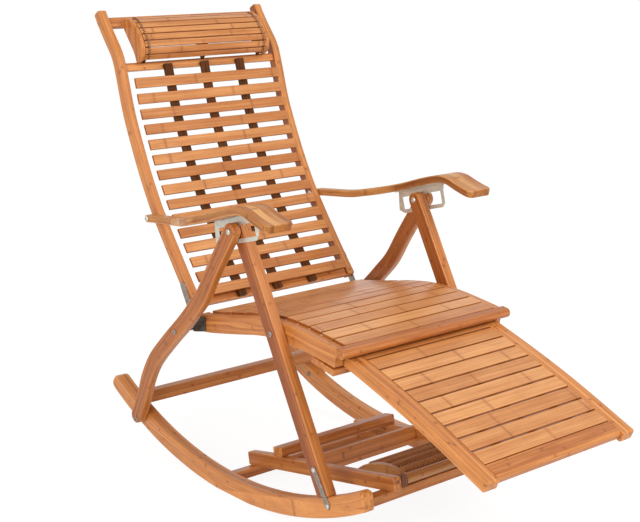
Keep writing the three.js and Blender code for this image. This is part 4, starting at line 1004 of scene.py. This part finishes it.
def strand(path, outward, radius, sides=8):
    """A round cord along a path: at angle a, the path's point moved by radius times
    (cos a outward + sin a sideways), where sideways is square to the path and to outward."""
    path = np.asarray(path, float)
    way = np.gradient(path, axis=0)
    way /= np.linalg.norm(way, axis=1, keepdims=True)
    sideways = np.cross(way, outward)
    sideways /= np.linalg.norm(sideways, axis=1, keepdims=True)
    outward = np.cross(sideways, way)
    angle = np.linspace(0, 2 * np.pi, sides, endpoint=False)[None, :, None]
    points = path[:, None] + radius * (np.cos(angle) * outward[:, None] + np.sin(angle) * sideways[:, None])
    walked = np.concatenate([[0], np.cumsum(np.linalg.norm(np.diff(path, axis=0), axis=1))])
    grain = np.stack(np.broadcast_arrays(walked[:, None], angle[..., 0], 0.0), -1)
    return skin(points, grain, np.zeros(points.shape[:2]))


pillow_pitch = pillow_length / PILLOW_SLATS
pillow_parts = []
chance = np.random.default_rng(5)
for number in range(PILLOW_SLATS):
    plan = lath(number * pillow_pitch + 0.5, (number + 1) * pillow_pitch - 0.5, -7, -0.05, 2.4, 2.4, 6)
    reach = 176.6 - chance.uniform(0, 0.4)
    # Painted shade: each pillow slat's ends and long edges are marked dark, along the gaps between slats.
    pillow_parts.append((sawn(
        beside(pillow_curve, plan[:, 0], plan[:, 1]), plan, -reach, reach, 0.8, lengthwise=False,
        shift=(chance.uniform(0, 3000), 45, 20), faces=(0.8, 0.8), painted_flank_shade=1,
    ), chance.uniform(0.1, 0.5), 0))
rib_outline = bulged(6.8, 2)
for middle in (-RIB_PLACE, 0, RIB_PLACE):
    pillow_parts.append((sawn(
        rib_outline, rib_outline[:, ::-1] - [900, 450], middle - 4.5, middle + 4.5, 0.8), 0.5, 1))
for sign in (-1, 1):
    stations = np.linspace(pillow_pitch * 0.3, pillow_length - pillow_pitch * 0.3, 720)
    turns = stations / LACE_PITCH * 2 * np.pi
    spot = beside(pillow_curve, stations, 0.4 + 1.3 * np.cos(turns))
    line = np.concatenate([(sign * RIB_PLACE + 3.4 * np.sin(turns))[:, None], spot], -1)
    way = heading(pillow_curve, stations)
    outward = np.stack([0 * stations, -way[:, 1], way[:, 0]], -1)
    pillow_parts.append((strand(line, outward, 1.0, 6), 0.5, 2))
pillow = made("pillow_slats_wood", pillow_parts, [slatted, dark_bamboo, cord_brown])
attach(pillow, "backrest")
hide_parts("pillow_slats")

# Armrests and their pivots
#
# Broad armrests, glued up from strips side by side and bent in a press, widen towards their
# rounded fronts. A bolt through the back rail carries each at its rear end.
ARM_THICKNESS = 17
ARM_CORNER = 14
ARM_NARROW = 265
ARM_WIDE = 321
ARM_INNER_FRONT = 251
ARM_INNER_REAR = 240
SWELL_REAR = 250
SWELL_MIDDLE = 145
SWELL_FRONT = 40
ARM_BOLT_OUTER = 265.3
arm_hinge = np.array([307.976, 575.027])
arm_shares = [
    [0, 0], [0.12, -0.05], [0.232, -0.09], [0.32, 0], [0.439, 0.18], [0.571, 0.46],
    [0.697, 0.8], [0.761, 0.94], [0.815, 1], [0.862, 0.86], [0.91, 0.52], [0.96, 0.2], [1, 0],
]
arm_curve = bowed(arm_hinge + [10, 7], LEG_TOP + [-172, 43], -36, arm_shares)
arm_length = arm_curve[1][-1]
planked = lacquered(
    "plank_bamboo", (0.78, 0.39, 0.13, 1), (0.34, 0.105, 0.02, 1), (0.22, 0.06, 0.012, 1),
    strip=17.5, layer=40, knots=210, uneven=1.4, gloss=0.38, coat=0.1,
)


def armboard(sign):
    """Sections across the armrest's line. At a distance along it, the section is a rounded
    rectangle from the inner to the outer edge of the plan, which swells by the cubic
    (1 - t)^3 + 3 t (1 - t)^2 share of narrow and the rest of wide, from rear to front. Near both
    ends the section draws in by a quarter circle, and the front corners by a larger arc."""
    soft = 3.6
    turn = np.radians([0, 22.5, 45, 67.5, 90])
    ends = soft * (1 - np.sin(turn))
    corner = np.linspace(0.02, 1, 12) ** 1.6 * ARM_CORNER
    stations = np.concatenate([
        ends[::-1], np.linspace(6, arm_length - 16, 120), (arm_length - corner)[::-1],
    ])
    stations[-1] = arm_length - 0.1
    draw = np.zeros(len(stations))
    draw[:5] = soft * (1 - np.cos(turn[::-1]))
    front = np.clip(soft - (arm_length - stations), 0, soft)
    draw = np.maximum(draw, soft - np.sqrt(soft ** 2 - front ** 2))
    y = beside(arm_curve, stations)[:, 0]
    t = np.linspace(0, 1, 200)
    swell_y = (
        SWELL_REAR * (1 - t) ** 3 + 3 * SWELL_MIDDLE * t * (1 - t) ** 2
        + 3 * SWELL_MIDDLE * t ** 2 * (1 - t) + SWELL_FRONT * t ** 3
    )
    narrow_share = (1 - t) ** 3 + 3 * t * (1 - t) ** 2
    wide_share = t ** 3 + 3 * t ** 2 * (1 - t)
    swell_x = ARM_NARROW * narrow_share + ARM_WIDE * wide_share
    outer = np.interp(y, swell_y[::-1], swell_x[::-1])
    inner = np.interp(y, [SWELL_FRONT, arm_hinge[0] + 16], [ARM_INNER_FRONT, ARM_INNER_REAR])
    cut = ARM_CORNER - np.minimum(arm_length - stations, ARM_CORNER)
    cut = ARM_CORNER - np.sqrt(ARM_CORNER ** 2 - cut ** 2)
    low, high = inner + cut + draw, outer - cut - draw
    angle = np.radians([0, 22.5, 45, 67.5, 90])
    angle = np.concatenate([angle + quarter * np.pi / 2 for quarter in range(4)])
    side_way = np.repeat([1, -1, -1, 1], 5)
    down_way = np.repeat([1, 1, -1, -1], 5)
    x = ((low + high) / 2)[:, None] + ((high - low) / 2 - soft)[:, None] * side_way + soft * np.cos(angle)
    off = ARM_THICKNESS / 2 + (ARM_THICKNESS / 2 - soft - draw)[:, None] * down_way + soft * np.sin(angle)
    along = np.broadcast_to(stations[:, None], x.shape)
    spots = beside(arm_curve, along, off)
    rows = np.concatenate([sign * x[..., None], spots], -1)
    grain = np.stack([along + 1100 * sign, x - ARM_INNER_FRONT, off + 4], -1)
    worn = np.abs(np.sin(2 * angle))[None] * np.ones((len(stations), 1))
    worn = np.maximum(worn, np.clip(draw, 0, 1)[:, None])
    stain = np.clip((stations - arm_length + 3) / 3, 0, 0.8)[:, None]
    return skin(rows, grain, worn, stain)


for side, sign in SIDES:
    # The left armrest, on the far side, takes a darker tone than the right: painted shade.
    armrest = made(f"armrest_wood_{side}", [(armboard(sign), 0.48 - 0.12 * sign, 0)], [planked])
    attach(armrest, "armrests")
    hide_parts(f"armrest_{side}")
    pivot = made(f"arm_pivot_bolt_steel_{side}", [
        (bolt(RAIL_INNER - FIT, ARM_BOLT_OUTER, sign, arm_hinge), 0.5, 0)], [zinc])
    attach(pivot, "backrest")
    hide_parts(f"arm_pivot_bolt_{side}")
    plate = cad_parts[f"arm_plate_{side}"]
    plate.data.materials.clear()
    plate.data.materials.append(zinc)

# Footrest
#
# Two broad flat rails, pressed to a slack arch and joined by a round-nosed front bar. Short
# round glides near their rear ends run along the seat rails.
FOOT_RAIL_INNER = 180
FOOT_RAIL_OUTER = 214
FOOT_RAIL_DEPTH = 24
FOOT_REACH = 467.3
FOOT_FALL = 162.3
FOOT_BAR_DEPTH = 36
FOOT_BAR_BACK = 5.6
foot_shares = [
    [0, 0], [0.096, 0.521], [0.185, 0.861], [0.32, 0.991], [0.479, 0.999], [0.639, 0.867],
    [0.799, 0.522], [0.937, 0.158], [1, 0],
]
foot_curve = bowed([-240, 404], [-240 - FOOT_REACH, 404 - FOOT_FALL], -14, foot_shares)
foot_length = foot_curve[1][-1]
foot_plan = lath(0, foot_length, 0.1, FOOT_RAIL_DEPTH - 0.1, 3, 5)
for side, sign in SIDES:
    low, high = sorted((sign * FOOT_RAIL_INNER, sign * FOOT_RAIL_OUTER))
    board = sawn(beside(foot_curve, foot_plan[:, 0], foot_plan[:, 1]), foot_plan, low, high, 2.4,
                 shift=(5100 * sign, 2.9, 5))
    glide_rows = np.array([[FOOT_RAIL_OUTER - 0.6, 6], [RAIL_INNER - FIT, 6]]) * [sign, 1]
    glide = turned(glide_rows, beside(foot_curve, 12, FOOT_RAIL_DEPTH / 2))
    rail = made(f"footrest_rail_wood_{side}", [(board, 0.58 + 0.05 * sign, 0), (glide, 0.3, 1)],
                [pressed, dark_bamboo])
    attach(rail, "footrest")
    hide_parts(f"footrest_rail_{side}")
bar_start = foot_length - FOOT_BAR_BACK - FOOT_BAR_DEPTH
bar_place = bar_start + FOOT_BAR_DEPTH / 2
bar_way = heading(foot_curve, bar_place)
bar_down = np.array([-bar_way[1], bar_way[0]])
bar_half = FOOT_BAR_DEPTH / 2
front_plan = eased([
    [-bar_half, 0], [bar_half - 0.1, 0], [bar_half - 0.1, 22], [-bar_half, 22],
], [1.6, 8, 8, 1.6], 6)
front_outline = beside(foot_curve, bar_place) + front_plan[:, :1] * bar_way + front_plan[:, 1:] * bar_down
foot_front = made("footrest_front_bar_wood", [(sawn(
    front_outline, front_plan, FIT - FOOT_RAIL_INNER, FOOT_RAIL_INNER - FIT, 0.8,
    lengthwise=False, shift=(760, 5, 3),
), 0.3, 0)], [pressed])
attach(foot_front, "footrest")
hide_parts("footrest_front_bar")

# Footrest slats
#
# Ten slats between the rails, on three battens like the seat's. The rear one was cut from a
# riper cane and is redder.
FOOT_SLATS = 10
FOOT_FIRST = 68
foot_pitch = (bar_start - FOOT_FIRST) / FOOT_SLATS
foot_mat = mat(
    77, foot_curve, FOOT_FIRST + foot_pitch / 2, foot_pitch, FOOT_SLATS, 35, 0, 1, 8,
    FOOT_RAIL_INNER - FIT, (8, bar_start - FIT, 6), tones=(0.3, 0.75))
foot_mat[0] = (foot_mat[0][0], 0.05, 0)
foot_slats = made("footrest_slats_wood", foot_mat, [slatted, dark_bamboo])
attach(foot_slats, "footrest")
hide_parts("footrest_slats")

# Footrest rear board
#
# A flat board that slides just under the seat rails and carries the footrest's rear end. It is
# sawn from the same pressed bamboo as the rails, with its grain from side to side.
under_seat = beside(seat_curve, np.linspace(0, seat_length, 400), SEAT_RAIL_DEPTH)
order = np.argsort(under_seat[:, 0])
BOARD_REAR = -246
board_height = np.interp(BOARD_REAR, under_seat[order, 0], under_seat[order, 1]) - FIT
board_rear = np.array([BOARD_REAR, board_height])
board_tilt = 0.6 * np.arctan2(FOOT_FALL, FOOT_REACH)
board_way = np.array([-np.cos(board_tilt), -np.sin(board_tilt)])
board_up = np.array([-np.sin(board_tilt), np.cos(board_tilt)])
rear_plan = eased([[0, 0], [0, -14], [70, -14], [70, 0]], 1.6)
rear_board = made("footrest_rear_board_wood", [(sawn(
    board_rear + rear_plan[:, :1] * board_way + rear_plan[:, 1:] * board_up, rear_plan,
    -SEAT_RAIL_OUTER, SEAT_RAIL_OUTER, 1.4, lengthwise=False, shift=(40, 3, 20),
), 0.4, 0)], [pressed])
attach(rear_board, "footrest_carriage")
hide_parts("footrest_rear_board")

# Floor, light and camera
#
# A plain white floor that runs to the horizon, one large soft lamp before the chair, a weaker
# one to its right and an even sky. The floor shows white to the camera and keeps the shadow.
bpy.ops.mesh.primitive_plane_add(size=60, location=(0, 0, -0.0005))
floor = bpy.context.object
floor.name = "studio_floor"
floor_finish = bpy.data.materials.new("studio_floor")
floor_finish.use_nodes = True
floor_tree = floor_finish.node_tree
floor_node = functools.partial(Channel.node, floor_tree)
ray = floor_node("ShaderNodeLightPath", {}, {}, "Is Camera Ray")
seen = ray.math("MAXIMUM", ray, ray.also("Is Glossy Ray"))
seen = seen.math("MAXIMUM", seen, ray.also("Is Transmission Ray"))
floor_glow = floor_node("ShaderNodeEmission", {}, {"Color": (1, 1, 1, 1), "Strength": 1.125})
floor_mix = floor_node("ShaderNodeMixShader", {}, {
    0: seen * 0.8, 1: Channel(floor_tree.nodes["Principled BSDF"].outputs[0]), 2: floor_glow})
floor_tree.nodes["Principled BSDF"].inputs["Base Color"].default_value = (0.9, 0.9, 0.9, 1)
floor_tree.nodes["Principled BSDF"].inputs["Roughness"].default_value = 0.9
floor_tree.links.new(floor_mix.socket, floor_tree.nodes["Material Output"].inputs["Surface"])
floor.data.materials.append(floor_finish)

sky = bpy.data.worlds.new("studio_sky")
bpy.context.scene.world = sky
sky.use_nodes = True
sky_tree = sky.node_tree
sky_node = functools.partial(Channel.node, sky_tree)
sky_ray = sky_node("ShaderNodeLightPath", {}, {}, "Is Camera Ray")
shown = sky_ray.math("MAXIMUM", sky_ray, sky_ray.also("Is Glossy Ray"))
shown = shown.math("MAXIMUM", shown, sky_ray.also("Is Transmission Ray"))
sky_tree.nodes["Background"].inputs["Color"].default_value = (1, 1, 1, 1)
sky_tree.links.new((0.55 + shown * 0.45).socket, sky_tree.nodes["Background"].inputs["Strength"])

for name, place, aim, size, power in (
    ("front_lamp", (0.6, -3.2, 3.2), (0, 0, 0.45), 2.4, 95),
    ("side_lamp", (-3.6, -1.2, 1.6), (0, 0, 0.2), 2.0, 68),
):
    lamp = bpy.data.lights.new(name, "AREA")
    lamp.size = size
    lamp.energy = power
    holder = bpy.data.objects.new(name, lamp)
    bpy.context.scene.collection.objects.link(holder)
    holder.location = place
    toward = np.subtract(aim, place)
    holder.rotation_euler = (
        np.arctan2(np.hypot(toward[0], toward[1]), -toward[2]), 0, np.arctan2(-toward[0], toward[1]))

camera_data = bpy.data.cameras.new("camera")
camera_data.sensor_width = 36
camera_data.lens = 77.18
camera = bpy.data.objects.new("camera", camera_data)
camera.location = (-1.9346, -2.19435, 1.2096)
camera.rotation_euler = np.radians([90 - 13.56, 0, -40.24])
bpy.context.scene.collection.objects.link(camera)
bpy.context.scene.camera = camera
bpy.context.scene.view_settings.view_transform = "Standard"
